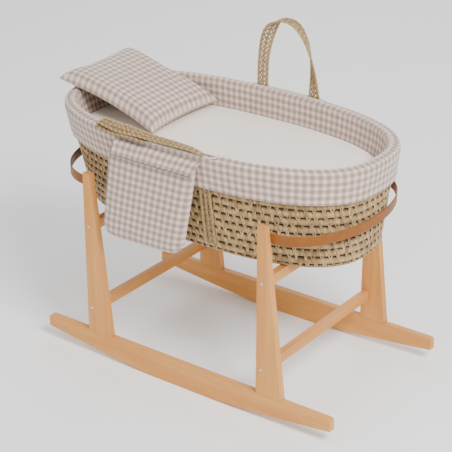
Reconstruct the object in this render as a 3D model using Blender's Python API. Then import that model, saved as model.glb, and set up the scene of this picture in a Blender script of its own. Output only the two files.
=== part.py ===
"""Moses basket with its bedding, standing on a wooden rocking stand.

Metres, +Z up, floor at Z = 0.  X runs along the basket, +X towards the foot end.
-Y is the near side, which carries the pouch.  Everything is first placed with X = 0
at the middle of the basket's rim, and the whole is then centred over the origin.
"""
import math

import bmesh
import bpy
from mathutils import Matrix, Vector

MM = 0.001
GAP = 0.3 * MM                     # between pieces that touch

# ---- basket -------------------------------------------------------------------
RIM_LENGTH = 868 * MM              # outside of the woven wall, at its top edge
RIM_WIDTH = 458 * MM
BASE_LENGTH = 784 * MM             # outside of the woven wall, at the floor
BASE_WIDTH = 380 * MM
WALL_HEIGHT = 236 * MM
WALL = 10 * MM                     # thickness of the weave
LEAN = 17 * MM                     # how far the foot is set towards +X of the rim
OVAL = 2.55                        # exponent of the oval: 2 is an ellipse
BELLY = 0.8                        # under 1 fills the sides out below the rim
HEEL = 17 * MM                     # height of the rounded foot of the wall
HEEL_INSET = 16 * MM
FLOOR_THICK = 9 * MM
COIL_RADIUS = 6 * MM               # top coil, bound over the wall's edge
RING_STEPS = 56

# ---- rocking stand --------------------------------------------------------------
TIMBER = 18 * MM
ROCKER_LENGTH = 857 * MM
ROCKER_DEPTH = 65.5 * MM
ROCKER_FLAT = 120 * MM             # level stretch under the middle, where it rests
ROCKER_RISE = 35 * MM              # of the under edge, from the middle to the ends
ROCKER_CURVE = 1.35                # exponent of that rise
ROCKER_STEPS = 10                  # on each side of the flat
ROCKER_END_RADIUS = 7 * MM
ROCKER_OFFSET = 40 * MM            # middle of the rockers, from the rim's middle
LEG_HEIGHT = 430 * MM
LEG_FOOT = 71 * MM
LEG_TIP = 20.6 * MM
LEG_PITCH = 515 * MM               # from one leg's upright edge to the other's
LEG_OFFSET = 3.5 * MM
LEG_CLEARANCE = 9.5 * MM           # between the woven wall and the leg tips
BAR_WIDTH = 18 * MM
BAR_HEIGHT = 25 * MM
BAR_EDGE = 4.5 * MM                # from the leg's upright edge to the bar
CROSSBAR_ABOVE = 290 * MM          # middle of a bar, above the rocker's top
STRETCHER_ABOVE = 65.5 * MM

SCREW_RADIUS = 2.5 * MM
SCREW_HEAD_RADIUS = 4.5 * MM
SCREW_HEAD_HEIGHT = 2.2 * MM
SCREW_LENGTH = 50 * MM
SCREW_SLOT = 1.0 * MM
DOWEL_RADIUS = 4 * MM
DOWEL_LENGTH = 36 * MM
DOWEL_PLACES = (0.28, 0.72)        # shares of the leg's foot

STRAP_WIDTH = 25 * MM
STRAP_THICK = 2.4 * MM
STRAP_BELOW_TIP = 28.5 * MM        # strap's middle, below the leg's tip
STRAP_SLACK = 5.5 * MM             # strap stands off the wall at the ends
STRAP_OVAL = 2.1
STRAP_CLEARANCE = 0.6 * MM         # at least this much between it and the wall's face
STRAP_STEPS = 28
STRAP_END_INSET = 3 * MM           # from the leg's outer edge to the strap's end
STRAP_SCREW_RADIUS = 1.8 * MM
STRAP_SCREW_HEAD = 3.6 * MM
STRAP_SCREW_LENGTH = 14 * MM

# ---- handles --------------------------------------------------------------------
HANDLE_X = 21.5 * MM               # middle of the handles
HANDLE_SPACING = 155 * MM
HANDLE_RISE = 183 * MM
HANDLE_LEAN = 8 * MM               # its top, set over towards the head end
STRIP_WIDTH = 34 * MM
STRIP_THICK = 5 * MM
BAND_CLEARANCE = 0.4 * MM
BAND_FOOT = 26 * MM                # band's lower end above the basket's floor
HANDLE_STEPS = 32
HANDLE_OVAL = 2.35
BAND_TOP = 11.8 * MM               # above the wall's top edge
PIVOT_ABOVE = 18.5 * MM            # hinge line of the upright handle, above the wall's top edge
FOLDED_REACH = 227 * MM            # folded handle's reach from the handles' middle
FOLDED_TILT = math.radians(14)
FOLDED_LIFT = 23 * MM              # lower layer's middle above the wall's top edge
FOLDED_SPREAD = 7 * MM             # between the folded handle's two layers
FOLDED_OUT = 4 * MM                # its middle, outside the wall's face

# ---- liner and bedding ------------------------------------------------------------
BUMPER = 12 * MM
BUMPER_CLEARANCE = 0.8 * MM
BUMPER_FOOT = 20 * MM              # bumper's lower edge above the basket's floor
CREST = 20 * MM                    # rim roll's top above the wall's top edge
SKIRT = 3 * MM
SKIRT_CLEARANCE = 0.5 * MM         # between the skirt and the bands under it
SKIRT_DROP = 63 * MM               # hem below the wall's top edge
SLOT_LENGTH = 222 * MM
BINDING = 2 * MM
BEDDING_CLEARANCE = 1.5 * MM
BASE_CUSHION = 88 * MM
MATTRESS = 90 * MM
SHEET = 2.7 * MM
SHEET_TUCK = 78 * MM               # how far the sheet comes down the mattress

PILLOW_WIDTH = 266 * MM
PILLOW_THICK = 44 * MM
PILLOW_EDGE = 8 * MM
PILLOW_FOOT_X = -163 * MM
PILLOW_Y = 43 * MM
PILLOW_STRETCH = (5 * MM, 3 * MM)  # how far the far foot corner is pulled out
PILLOW_OVERHANG = 32 * MM          # past the woven rim at the head end
PILLOW_NEAR_LIFT = 14 * MM         # head corners above their rest on the rim
PILLOW_FAR_LIFT = 30 * MM
PILLOW_SKEW = 22 * MM              # how far the far head corner is pulled in
PILLOW_SAG = 22.7 * MM             # its middle, below halfway from the sheet to the rim's rest
PILLOW_BELLY = 0.32                # share of the crown that is on the underside
PILLOW_DRAW = 0.03                 # how much the sides pull in between the corners
PILLOW_REST = 2 * MM               # clearance over the sheet and over the rim

POUCH_LEFT = -165 * MM
POUCH_WIDTH = 246 * MM
POUCH_HEIGHT = 236 * MM
POUCH_SWAY = -27 * MM              # how far its bottom hangs towards the head end
POUCH_SPREAD = 9 * MM              # how much wider its mouth is at the foot end
POUCH_TAPER = 14 * MM              # how much that side comes in towards the bottom
POUCH_TILT = 7 * MM                # how much higher its foot-end lower corner is
POUCH_TOP_BELOW = 18 * MM          # pouch's mouth, below the wall's top edge
POUCH_THICK_TOP = 12 * MM
POUCH_THICK_LOW = 22 * MM
POUCH_CLOTH = 2 * MM
POUCH_CORNER = 42 * MM
POUCH_CLEARANCE = 1 * MM
FLAP_DROP = 28 * MM
FLAP_THICK = 2.5 * MM
FLAP_LEFT_INSET = 16 * MM
FLAP_RIGHT_INSET = 2 * MM
FLAP_SLANT = 15 * MM               # its top is this much longer than its hem at the foot end
FLAP_ABOVE = 6 * MM                # flap's top above the wall's top edge

# ---- derived heights and places ------------------------------------------------------
LEG_BASE_Z = ROCKER_DEPTH + GAP
LEG_TOP_Z = LEG_BASE_Z + LEG_HEIGHT
CROSSBAR_Z = LEG_BASE_Z + CROSSBAR_ABOVE
STRETCHER_Z = LEG_BASE_Z + STRETCHER_ABOVE
BASKET_Z = CROSSBAR_Z + BAR_HEIGHT / 2 + GAP
WALL_TOP_Z = BASKET_Z + WALL_HEIGHT
STRIP_MIDDLE = BAND_CLEARANCE + STRIP_THICK / 2
PIVOT_Z = WALL_TOP_Z + PIVOT_ABOVE
HANDLE_ARMS = (HANDLE_X - HANDLE_SPACING / 2, HANDLE_X + HANDLE_SPACING / 2)
CUSHION_Z = BASKET_Z + FLOOR_THICK + GAP
MATTRESS_Z = CUSHION_Z + BASE_CUSHION + GAP
SHEET_TOP_Z = MATTRESS_Z + MATTRESS + GAP + SHEET
BEDDING_INSET = WALL + BUMPER_CLEARANCE + BUMPER + BEDDING_CLEARANCE
STRAP_Z = LEG_TOP_Z - STRAP_BELOW_TIP


# ---- the oval of the basket ----------------------------------------------------------
def wall_size(z):
    """Middle, half length and half width of the woven wall's outside at height z."""
    share = min(max((z - BASKET_Z) / WALL_HEIGHT, 0.0), 1.0)
    middle = LEAN * (1 - share)
    half_length = (BASE_LENGTH + (RIM_LENGTH - BASE_LENGTH) * share) / 2
    half_width = (BASE_WIDTH + (RIM_WIDTH - BASE_WIDTH) * share ** BELLY) / 2
    return middle, half_length, half_width


def oval_point(angle, half_length, half_width, exponent):
    cos, sin = math.cos(angle), math.sin(angle)
    x = math.copysign(abs(cos) ** (2 / exponent), cos) * half_length
    y = math.copysign(abs(sin) ** (2 / exponent), sin) * half_width
    return x, y


def ring(z, offset, steps=RING_STEPS):
    """The wall's outline at height z, moved outwards by offset."""
    middle, half_length, half_width = wall_size(z)
    points = []
    for step in range(steps):
        x, y = oval_point(math.tau * step / steps, half_length + offset, half_width + offset, OVAL)
        points.append(Vector((middle + x, y, z)))
    return points


def wall_y(x, z, offset=0.0):
    """Half width of the wall, moved outwards by offset, at the place x."""
    middle, half_length, half_width = wall_size(z)
    share = min(abs(x - middle) / (half_length + offset), 1.0)
    return (half_width + offset) * (1 - share ** OVAL) ** (1 / OVAL)


LEG_INNER_Y = wall_size(LEG_TOP_Z)[2] + LEG_CLEARANCE
LEG_OUTER_Y = LEG_INNER_Y + TIMBER
HEAD_LEG_X = LEG_OFFSET - LEG_PITCH / 2
FOOT_LEG_X = LEG_OFFSET + LEG_PITCH / 2


# ---- building blocks -------------------------------------------------------------------
def clear_scene():
    for thing in list(bpy.data.objects):
        bpy.data.objects.remove(thing, do_unlink=True)


def make_material(name, colour, roughness, metallic=0.0):
    material = bpy.data.materials.new(name)
    material.use_nodes = True
    shader = material.node_tree.nodes["Principled BSDF"]
    shader.inputs["Base Color"].default_value = (*colour, 1)
    shader.inputs["Roughness"].default_value = roughness
    shader.inputs["Metallic"].default_value = metallic
    return material


COLOURS = {
    "beech": ((0.62, 0.38, 0.21), 0.55, 0.0),
    "palm": ((0.58, 0.45, 0.25), 0.8, 0.0),
    "leather": ((0.55, 0.27, 0.10), 0.5, 0.0),
    "gingham": ((0.62, 0.54, 0.49), 0.9, 0.0),
    "sheet": ((0.75, 0.72, 0.68), 0.9, 0.0),
    "foam": ((0.80, 0.78, 0.70), 0.95, 0.0),
    "tape": ((0.70, 0.68, 0.64), 0.9, 0.0),
    "steel": ((0.60, 0.60, 0.62), 0.3, 1.0),
}


def add_object(name, bm, kind, root, smooth=False):
    """Turn a bmesh into a named object with its own material."""
    bmesh.ops.recalc_face_normals(bm, faces=bm.faces)
    mesh = bpy.data.meshes.new(name)
    bm.to_mesh(mesh)
    bm.free()
    item = bpy.data.objects.new(name, mesh)
    bpy.context.scene.collection.objects.link(item)
    item.parent = root
    mesh.materials.append(make_material(name, *COLOURS[kind]))
    if smooth:
        mesh.shade_smooth()
        mesh.set_sharp_from_angle(angle=math.radians(40))
    return item


def loft(loops, closed):
    """Skin a row of point loops, either round into a ring or with both ends capped."""
    bm = bmesh.new()
    rows = [[bm.verts.new(point) for point in loop] for loop in loops]
    count = len(rows[0])
    pairs = list(zip(rows, rows[1:]))
    if closed:
        pairs.append((rows[-1], rows[0]))
    for low, high in pairs:
        for i in range(count):
            j = (i + 1) % count
            bm.faces.new((low[i], low[j], high[j], high[i]))
    if not closed:
        bm.faces.new(list(reversed(rows[0])))
        bm.faces.new(rows[-1])
    return bm


def prism(outline, axis, start, end):
    """Extrude an outline of (first, second) pairs along Y or Z."""
    loops = []
    for place in (start, end):
        if axis == "Y":
            loops.append([Vector((u, place, v)) for u, v in outline])
        else:
            loops.append([Vector((u, v, place)) for u, v in outline])
    return loft(loops, closed=False)


def cylinder(centre, axis, radius, length, sides=16):
    """A round bar with its middle at centre, along Y or Z."""
    bm = bmesh.new()
    turn = Matrix.Rotation(math.pi / 2, 4, "X") if axis == "Y" else Matrix.Identity(4)
    bmesh.ops.create_cone(bm, cap_ends=True, segments=sides, radius1=radius, radius2=radius,
                          depth=length, matrix=Matrix.Translation(centre) @ turn)
    return bm


def merge(parts):
    """Put several closed shapes in one bmesh."""
    whole = bmesh.new()
    for bm in parts:
        mesh = bpy.data.meshes.new("scratch")
        bm.to_mesh(mesh)
        bm.free()
        whole.from_mesh(mesh)
        bpy.data.meshes.remove(mesh)
    return whole


def boolean(item, tool_shapes, operation, root):
    """Cut shapes out of an item, or weld them onto it."""
    tool = add_object(item.name + "_" + operation.lower(), merge(tool_shapes), "steel", root)
    tool.hide_render = True
    tool.display_type = "WIRE"
    modifier = item.modifiers.new(operation.title(), "BOOLEAN")
    modifier.operation = operation
    modifier.solver = "EXACT"
    modifier.object = tool


# ---- rocking stand ---------------------------------------------------------------------
def rocker_outline():
    """Level top, rising under edge and rounded ends, as (x, z) pairs."""
    half = ROCKER_LENGTH / 2
    run = half - ROCKER_FLAT / 2
    points = []
    for end in (-1, 1):
        steps = range(ROCKER_STEPS + 1) if end > 0 else range(ROCKER_STEPS, -1, -1)
        for step in steps:
            x = ROCKER_FLAT / 2 + run * step / ROCKER_STEPS
            points.append((ROCKER_OFFSET + end * x, ROCKER_RISE * (step / ROCKER_STEPS) ** ROCKER_CURVE))
    for end in (1, -1):
        for step in range(4):
            angle = math.pi / 2 * (step if end > 0 else 3 - step) / 3
            x = ROCKER_OFFSET + end * (half - ROCKER_END_RADIUS * (1 - math.cos(angle)))
            points.append((x, ROCKER_DEPTH - ROCKER_END_RADIUS * (1 - math.sin(angle))))
    return points


def dowel_spots(leg_x):
    return [leg_x + LEG_FOOT * share for share in DOWEL_PLACES]


def inner_and_outer(side):
    return side * LEG_INNER_Y, side * LEG_OUTER_Y


def dowel_holes(leg_x, side):
    y = side * (LEG_INNER_Y + TIMBER / 2)
    return [cylinder((x, y, LEG_BASE_Z), "Z", DOWEL_RADIUS + GAP, DOWEL_LENGTH + 2 * GAP, 12)
            for x in dowel_spots(leg_x)]


def screw_hole(leg_x, side, z):
    """Clearance for one frame screw, from the leg's face to the screw's tip."""
    x = leg_x + BAR_EDGE + BAR_WIDTH / 2
    length = SCREW_LENGTH + 2 * MM
    return cylinder((x, side * (LEG_OUTER_Y - length / 2 + 1 * MM), z), "Y", SCREW_RADIUS + GAP, length, 12)


def strap_screw_x(leg_x):
    """Middle of the strap's screw on a leg, between the leg's edges at that height."""
    taper = (LEG_FOOT - LEG_TIP) * STRAP_BELOW_TIP / LEG_HEIGHT
    return leg_x + (LEG_TIP + taper) / 2


def strap_screw_hole(leg_x, side):
    length = STRAP_SCREW_LENGTH + 1 * MM
    y = side * (LEG_INNER_Y + length / 2 - STRAP_THICK - 1 * MM)
    return cylinder((strap_screw_x(leg_x), y, STRAP_Z), "Y", STRAP_SCREW_RADIUS + GAP, length, 12)


def build_stand(root):
    sides = (("near", -1), ("far", 1))
    ends = (("head", HEAD_LEG_X), ("foot", FOOT_LEG_X))
    for side_name, side in sides:
        inner, outer = inner_and_outer(side)
        board = prism(rocker_outline(), "Y", inner, outer)
        rocker = add_object("rocker_" + side_name, board, "beech", root)
        holes = []
        for _, leg_x in ends:
            holes += dowel_holes(leg_x, side)
        boolean(rocker, holes, "DIFFERENCE", root)
        for end_name, leg_x in ends:
            label = side_name + "_" + end_name
            build_leg(label, leg_x, side, root)
            for number, x in enumerate(dowel_spots(leg_x), 1):
                y = side * (LEG_INNER_Y + TIMBER / 2)
                pin = cylinder((x, y, LEG_BASE_Z), "Z", DOWEL_RADIUS, DOWEL_LENGTH, 12)
                add_object(f"dowel_{label}_{number}", pin, "beech", root, smooth=True)
            for level, z in (("upper", CROSSBAR_Z), ("lower", STRETCHER_Z)):
                build_screw(f"screw_{label}_{level}", leg_x, side, z, root)
    for end_name, leg_x in ends:
        for kind, z in (("crossbar_", CROSSBAR_Z), ("stretcher_", STRETCHER_Z)):
            build_bar(kind + end_name, leg_x, z, root)


def build_leg(label, leg_x, side, root):
    """One upright edge, one edge that spreads from the tip to the foot."""
    outline = [(leg_x, LEG_BASE_Z), (leg_x + LEG_FOOT, LEG_BASE_Z),
               (leg_x + LEG_TIP, LEG_TOP_Z), (leg_x, LEG_TOP_Z)]
    inner, outer = inner_and_outer(side)
    leg = add_object("leg_" + label, prism(outline, "Y", inner, outer), "beech", root)
    holes = dowel_holes(leg_x, side) + [strap_screw_hole(leg_x, side)]
    holes += [screw_hole(leg_x, side, z) for z in (CROSSBAR_Z, STRETCHER_Z)]
    boolean(leg, holes, "DIFFERENCE", root)


def build_bar(name, leg_x, z, root):
    """A bar between the near and far legs, drilled at both ends."""
    left = leg_x + BAR_EDGE
    outline = [(left, z - BAR_HEIGHT / 2), (left + BAR_WIDTH, z - BAR_HEIGHT / 2),
               (left + BAR_WIDTH, z + BAR_HEIGHT / 2), (left, z + BAR_HEIGHT / 2)]
    reach = LEG_INNER_Y - GAP
    bar = add_object(name, prism(outline, "Y", -reach, reach), "beech", root)
    boolean(bar, [screw_hole(leg_x, side, z) for side in (-1, 1)], "DIFFERENCE", root)


def turned_screw(profile, side, centre, sides=14):
    """A screw turned from (radius, depth) pairs; depth runs inwards from centre."""
    loops = []
    for radius, depth in profile:
        loops.append([Vector((centre[0] + radius * math.cos(math.tau * i / sides),
                              centre[1] - side * depth,
                              centre[2] + radius * math.sin(math.tau * i / sides))) for i in range(sides)])
    return loft(loops, closed=False)


def build_screw(name, leg_x, side, z, root):
    """A domed head with a cross recess on the leg's outer face."""
    centre = (leg_x + BAR_EDGE + BAR_WIDTH / 2, side * (LEG_OUTER_Y + GAP), z)
    profile = [(SCREW_HEAD_RADIUS * 0.55, -SCREW_HEAD_HEIGHT),
               (SCREW_HEAD_RADIUS * 0.9, -SCREW_HEAD_HEIGHT * 0.6),
               (SCREW_HEAD_RADIUS, 0), (SCREW_RADIUS, 0),
               (SCREW_RADIUS, SCREW_LENGTH - 5 * MM), (SCREW_RADIUS * 0.2, SCREW_LENGTH - GAP)]
    screw = add_object(name, turned_screw(profile, side, centre), "steel", root, smooth=True)
    face_y = centre[1] + side * SCREW_HEAD_HEIGHT
    arm = SCREW_HEAD_RADIUS * 0.5
    cross = [(SCREW_SLOT / 2, arm), (-SCREW_SLOT / 2, arm), (-SCREW_SLOT / 2, SCREW_SLOT / 2),
             (-arm, SCREW_SLOT / 2), (-arm, -SCREW_SLOT / 2), (-SCREW_SLOT / 2, -SCREW_SLOT / 2),
             (-SCREW_SLOT / 2, -arm), (SCREW_SLOT / 2, -arm), (SCREW_SLOT / 2, -SCREW_SLOT / 2),
             (arm, -SCREW_SLOT / 2), (arm, SCREW_SLOT / 2), (SCREW_SLOT / 2, SCREW_SLOT / 2)]
    outline = [(centre[0] + u, z + v) for u, v in cross]
    recess = prism(outline, "Y", face_y - side * 1.2 * MM, face_y + side * 1 * MM)
    boolean(screw, [recess], "DIFFERENCE", root)


def strap_path(leg_x, toward):
    """Middle line of a strap in plan, from the near leg round the basket's end to the far one."""
    middle, half_length, _ = wall_size(STRAP_Z)
    top_middle, clear_length, clear_width = wall_size(STRAP_Z + STRAP_WIDTH / 2)
    clear_length += STRAP_CLEARANCE + STRAP_THICK / 2
    clear_width += STRAP_CLEARANCE + STRAP_THICK / 2
    y_reach = LEG_INNER_Y - GAP - STRAP_THICK / 2
    start_x = leg_x + STRAP_END_INSET if toward > 0 else leg_x + LEG_TIP - STRAP_END_INSET
    edge_x = strap_screw_x(leg_x) + toward * LEG_TIP * 0.6
    reach = middle + toward * (half_length + STRAP_SLACK) - edge_x
    points = [Vector((start_x, -y_reach, STRAP_Z))]
    for step in range(STRAP_STEPS + 1):
        angle = -math.pi / 2 + math.pi * step / STRAP_STEPS
        x, y = oval_point(angle, abs(reach), y_reach, STRAP_OVAL)
        if abs(y) < clear_width:
            clear = clear_length * (1 - (abs(y) / clear_width) ** OVAL) ** (1 / OVAL)
            x = max(x, clear + toward * (top_middle - edge_x))
        points.append(Vector((edge_x + toward * x, y, STRAP_Z)))
    points.append(Vector((start_x, y_reach, STRAP_Z)))
    return points


def strip_loops(points, width_of, width, thick):
    """Rectangular sections along a path; width_of(i, tangent) gives the width's direction."""
    loops = []
    last = len(points) - 1
    for i, point in enumerate(points):
        tangent = (points[min(i + 1, last)] - points[max(i - 1, 0)]).normalized()
        across = width_of(i, tangent)
        across = (across - tangent * across.dot(tangent)).normalized() * (width / 2)
        through = tangent.cross(across).normalized() * (thick / 2)
        loops.append([point + across + through, point - across + through,
                      point - across - through, point + across - through])
    return loops


def build_strap(end_name, leg_x, toward, root):
    points = strap_path(leg_x, toward)
    loops = strip_loops(points, lambda i, tangent: Vector((0, 0, 1)), STRAP_WIDTH, STRAP_THICK)
    strap = add_object("strap_" + end_name, loft(loops, closed=False), "leather", root, smooth=True)
    boolean(strap, [strap_screw_hole(leg_x, side) for side in (-1, 1)], "DIFFERENCE", root)
    for side_name, side in (("near", -1), ("far", 1)):
        centre = (strap_screw_x(leg_x), side * (LEG_INNER_Y - 2 * GAP - STRAP_THICK), STRAP_Z)
        profile = [(STRAP_SCREW_HEAD * 0.6, -1.6 * MM), (STRAP_SCREW_HEAD, 0), (STRAP_SCREW_RADIUS, 0),
                   (STRAP_SCREW_RADIUS, STRAP_SCREW_LENGTH - 3 * MM),
                   (STRAP_SCREW_RADIUS * 0.2, STRAP_SCREW_LENGTH)]
        screw = turned_screw(profile, -side, centre, 10)
        add_object(f"strap_screw_{side_name}_{end_name}", screw, "steel", root, smooth=True)


# ---- basket ------------------------------------------------------------------------------
def ring_body(name, section, kind, root, smooth=True):
    """A ring with a closed section of (offset from the wall's outside, height) pairs."""
    rings = [ring(z, offset) for offset, z in section]
    return add_object(name, loft(rings, closed=True), kind, root, smooth)


def capped_body(name, section, kind, root, smooth=True):
    """A filled oval block, from the section's first height to its last."""
    rings = [ring(z, offset) for offset, z in section]
    return add_object(name, loft(rings, closed=False), kind, root, smooth)


def wall_stations(low, high, count):
    return [low + (high - low) * i / count for i in range(count + 1)]


def build_basket(root):
    bottom, top = BASKET_Z, WALL_TOP_Z
    heights = wall_stations(bottom + HEEL, top, 6)
    outside = [(-HEEL_INSET, bottom), (-HEEL_INSET * 0.5, bottom + HEEL * 0.13),
               (-HEEL_INSET * 0.15, bottom + HEEL * 0.5)]
    outside += [(0, z) for z in heights]
    inside = [(-WALL, z) for z in reversed(heights)]
    inside += [(-HEEL_INSET, bottom + FLOOR_THICK)]
    ring_body("basket_wall", outside + inside, "palm", root)
    edge = -HEEL_INSET - GAP
    capped_body("basket_floor", [(edge, bottom), (edge, bottom + FLOOR_THICK)], "palm", root)
    coil = [(-COIL_RADIUS - GAP + COIL_RADIUS * math.cos(math.tau * i / 8),
             top + GAP + COIL_RADIUS * (1 + math.sin(math.tau * i / 8))) for i in range(8)]
    ring_body("rim_coil", coil, "palm", root)


def build_bands(root):
    """The handles' strips carry on down the outside of the wall."""
    heights = wall_stations(BASKET_Z + BAND_FOOT, WALL_TOP_Z, 8) + [WALL_TOP_Z + BAND_TOP]
    for side_name, side in (("near", -1), ("far", 1)):
        for end_name, arm_x in zip(("head", "foot"), HANDLE_ARMS):
            loops = []
            for z in heights:
                row = []
                for x, offset in ((-1, 0), (0, 0), (1, 0), (1, 1), (0, 1), (-1, 1)):
                    place = arm_x + x * STRIP_WIDTH / 2
                    y = wall_y(place, z, BAND_CLEARANCE + offset * STRIP_THICK)
                    row.append(Vector((place, side * y, z)))
                loops.append(row)
            add_object(f"handle_band_{side_name}_{end_name}", loft(loops, closed=False), "palm", root)


def build_far_handle(root):
    """Upright arch whose strip turns a quarter turn between each foot and the top."""
    start_z = PIVOT_Z + GAP
    points, turns = [], []
    for step in range(HANDLE_STEPS + 1):
        angle = math.pi - math.pi * step / HANDLE_STEPS
        x, z = oval_point(angle, HANDLE_SPACING / 2, HANDLE_RISE, HANDLE_OVAL)
        height = z / HANDLE_RISE
        y = wall_y(HANDLE_X + x, WALL_TOP_Z, STRIP_MIDDLE)
        points.append(Vector((HANDLE_X + x - HANDLE_LEAN * height ** 1.5, y, start_z + z)))
        if x > 0:
            turns.append(math.pi / 2 * (1 - height ** 0.85))
        else:
            turns.append(math.pi / 2 * min(max((-x / (HANDLE_SPACING / 2) - 0.35) / 0.6, 0.0), 1.0))

    def width_of(i, tangent):
        side = Vector((0, 1, 0)).cross(tangent)
        return Vector((0, 1, 0)) * math.cos(turns[i]) + side * math.sin(turns[i])

    loops = strip_loops(points, width_of, STRIP_WIDTH, STRIP_THICK)
    add_object("handle_far", loft(loops, closed=False), "palm", root, smooth=True)


def build_near_handle(root):
    """The same strip folded flat: it lies along the rim towards the head, doubled on itself."""
    low_z = WALL_TOP_Z + FOLDED_LIFT
    radius = FOLDED_SPREAD / 2
    apex = HANDLE_X - FOLDED_REACH
    head_arm, foot_arm = HANDLE_ARMS
    track = [(x, 2 * radius) for x in wall_stations(foot_arm + STRIP_WIDTH / 2, apex, 12)]
    track += [(apex - radius * math.sin(math.pi * i / 6), radius * (1 + math.cos(math.pi * i / 6)))
              for i in range(1, 6)]
    track += [(x, 0) for x in wall_stations(apex, head_arm + STRIP_WIDTH / 2, 8)]
    up = Vector((0, -math.sin(FOLDED_TILT), math.cos(FOLDED_TILT)))
    points = []
    for x, lift in track:
        y = -wall_y(x, WALL_TOP_Z, FOLDED_OUT)
        points.append(Vector((x, y, low_z)) + up * lift)
    across = Vector((0, math.cos(FOLDED_TILT), math.sin(FOLDED_TILT)))
    loops = strip_loops(points, lambda i, tangent: across, STRIP_WIDTH, STRIP_THICK)
    handle = add_object("handle_near", loft(loops, closed=False), "palm", root)
    tabs = []
    for arm_x, height in ((head_arm, 0), (foot_arm, 2 * radius)):
        rows = []
        for z in (PIVOT_Z, low_z + height):
            inner = -wall_y(arm_x, WALL_TOP_Z, BAND_CLEARANCE)
            outer = inner - STRIP_THICK
            half = STRIP_WIDTH / 2 - 1 * MM
            rows.append([Vector((arm_x - half, inner, z)), Vector((arm_x + half, inner, z)),
                         Vector((arm_x + half, outer, z)), Vector((arm_x - half, outer, z))])
        tabs.append(loft(rows, closed=False))
    boolean(handle, tabs, "UNION", root)


# ---- liner and bedding -----------------------------------------------------------------------
def build_liner(root):
    """Padded bumper that covers the inside and the coil, and a skirt that hangs outside."""
    top = WALL_TOP_Z
    face = -(WALL + BUMPER_CLEARANCE)
    back = face - BUMPER
    coil_top = top + 2 * COIL_RADIUS + 3 * GAP
    heights = wall_stations(BASKET_Z + BUMPER_FOOT, top, 5)
    section = [(face, z) for z in heights]
    beside_coil = -2 * COIL_RADIUS - 3 * GAP
    section += [(beside_coil, top + COIL_RADIUS * 0.6), (beside_coil, top + COIL_RADIUS * 1.6),
                (beside_coil + 2 * MM, coil_top), (-1 * MM, coil_top), (-0.2 * MM, coil_top + 1.5 * MM),
                (-2 * MM, top + CREST - 2 * MM), (-6 * MM, top + CREST),
                (-13 * MM, top + CREST), (-19 * MM, top + CREST - 4 * MM), (back, top + CREST - 11 * MM)]
    section += [(back, z) for z in reversed(heights)]
    ring_body("liner_bumper", section, "gingham", root)

    inner = BAND_CLEARANCE + STRIP_THICK + SKIRT_CLEARANCE
    outer = inner + SKIRT
    lip_low = top + 2 * COIL_RADIUS + 2.5 * MM
    lip_high = lip_low + SKIRT
    hem = top - SKIRT_DROP
    stations = wall_stations(hem, top, 3)
    section = [(outer, z) for z in stations] + [(outer, lip_low), (outer - 2 * MM, lip_high)]
    section += [(0.2 * MM, lip_high), (0.2 * MM, lip_low), (inner - 0.5 * MM, lip_low),
                (inner, lip_low - 1 * MM)]
    section += [(inner, z) for z in reversed(stations)]
    skirt = ring_body("liner_skirt", section, "gingham", root)
    slots = []
    for side in (-1, 1):
        rows = []
        for x in wall_stations(HANDLE_X - SLOT_LENGTH / 2, HANDLE_X + SLOT_LENGTH / 2, 6):
            row = []
            for offset, z in ((-3 * MM, lip_low - 0.5 * MM), (inner + 0.8 * MM, lip_low - 0.5 * MM),
                              (inner + 0.8 * MM, lip_high + 3 * MM), (-3 * MM, lip_high + 3 * MM)):
                row.append(Vector((x, side * wall_y(x, WALL_TOP_Z, offset), z)))
            rows.append(row)
        slots.append(loft(rows, closed=False))
    boolean(skirt, slots, "DIFFERENCE", root)

    binding_z = top + CREST + GAP
    for side_name, side in (("near", -1), ("far", 1)):
        rows = []
        for x in wall_stations(HANDLE_X - SLOT_LENGTH / 2, HANDLE_X + SLOT_LENGTH / 2, 10):
            row = []
            for offset, rise in ((-8.5, 0), (-6.5, 0), (-6.5, 1), (-8.5, 1)):
                y = wall_y(x, WALL_TOP_Z, offset * MM)
                row.append(Vector((x, side * y, binding_z + rise * BINDING)))
            rows.append(row)
        add_object("slot_binding_" + side_name, loft(rows, closed=False), "tape", root)


def build_bedding(root):
    inset = -BEDDING_INSET
    soft = 8 * MM
    top = CUSHION_Z + BASE_CUSHION
    cushion = [(inset - soft, CUSHION_Z), (inset, CUSHION_Z + soft)]
    cushion += [(inset, top - soft), (inset - soft, top)]
    capped_body("base_cushion", cushion, "foam", root)

    core = inset - SHEET - GAP
    top = MATTRESS_Z + MATTRESS
    section = [(core - soft, MATTRESS_Z), (core, MATTRESS_Z + soft), (core, top - SHEET_TUCK)]
    section += [(core, top - soft), (core - soft * 0.3, top - soft * 0.3), (core - soft, top)]
    capped_body("mattress", section, "foam", root)

    low = MATTRESS_Z + MATTRESS - SHEET_TUCK
    inner_top = top + GAP
    bm = bmesh.new()
    path = [(core + GAP, low), (core + GAP + SHEET, low), (inset + GAP, SHEET_TOP_Z - soft),
            (inset - soft * 0.3, SHEET_TOP_Z - soft * 0.3), (inset - soft, SHEET_TOP_Z)]
    back = [(core + GAP - soft, inner_top), (core + GAP - soft * 0.3, inner_top - soft * 0.3),
            (core + GAP, inner_top - soft)]
    outer_rows = [[bm.verts.new(point) for point in ring(z, offset)] for offset, z in path]
    inner_rows = [[bm.verts.new(point) for point in ring(z, offset)] for offset, z in back]
    bm.faces.new(outer_rows[-1])
    bm.faces.new(inner_rows[0])
    chain = [inner_rows[0], inner_rows[1], inner_rows[2], outer_rows[0]] + outer_rows[1:]
    for low_row, high_row in zip(chain, chain[1:]):
        for i in range(RING_STEPS):
            j = (i + 1) % RING_STEPS
            bm.faces.new((low_row[i], low_row[j], high_row[j], high_row[i]))
    add_object("fitted_sheet", bm, "sheet", root, smooth=True)


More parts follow.
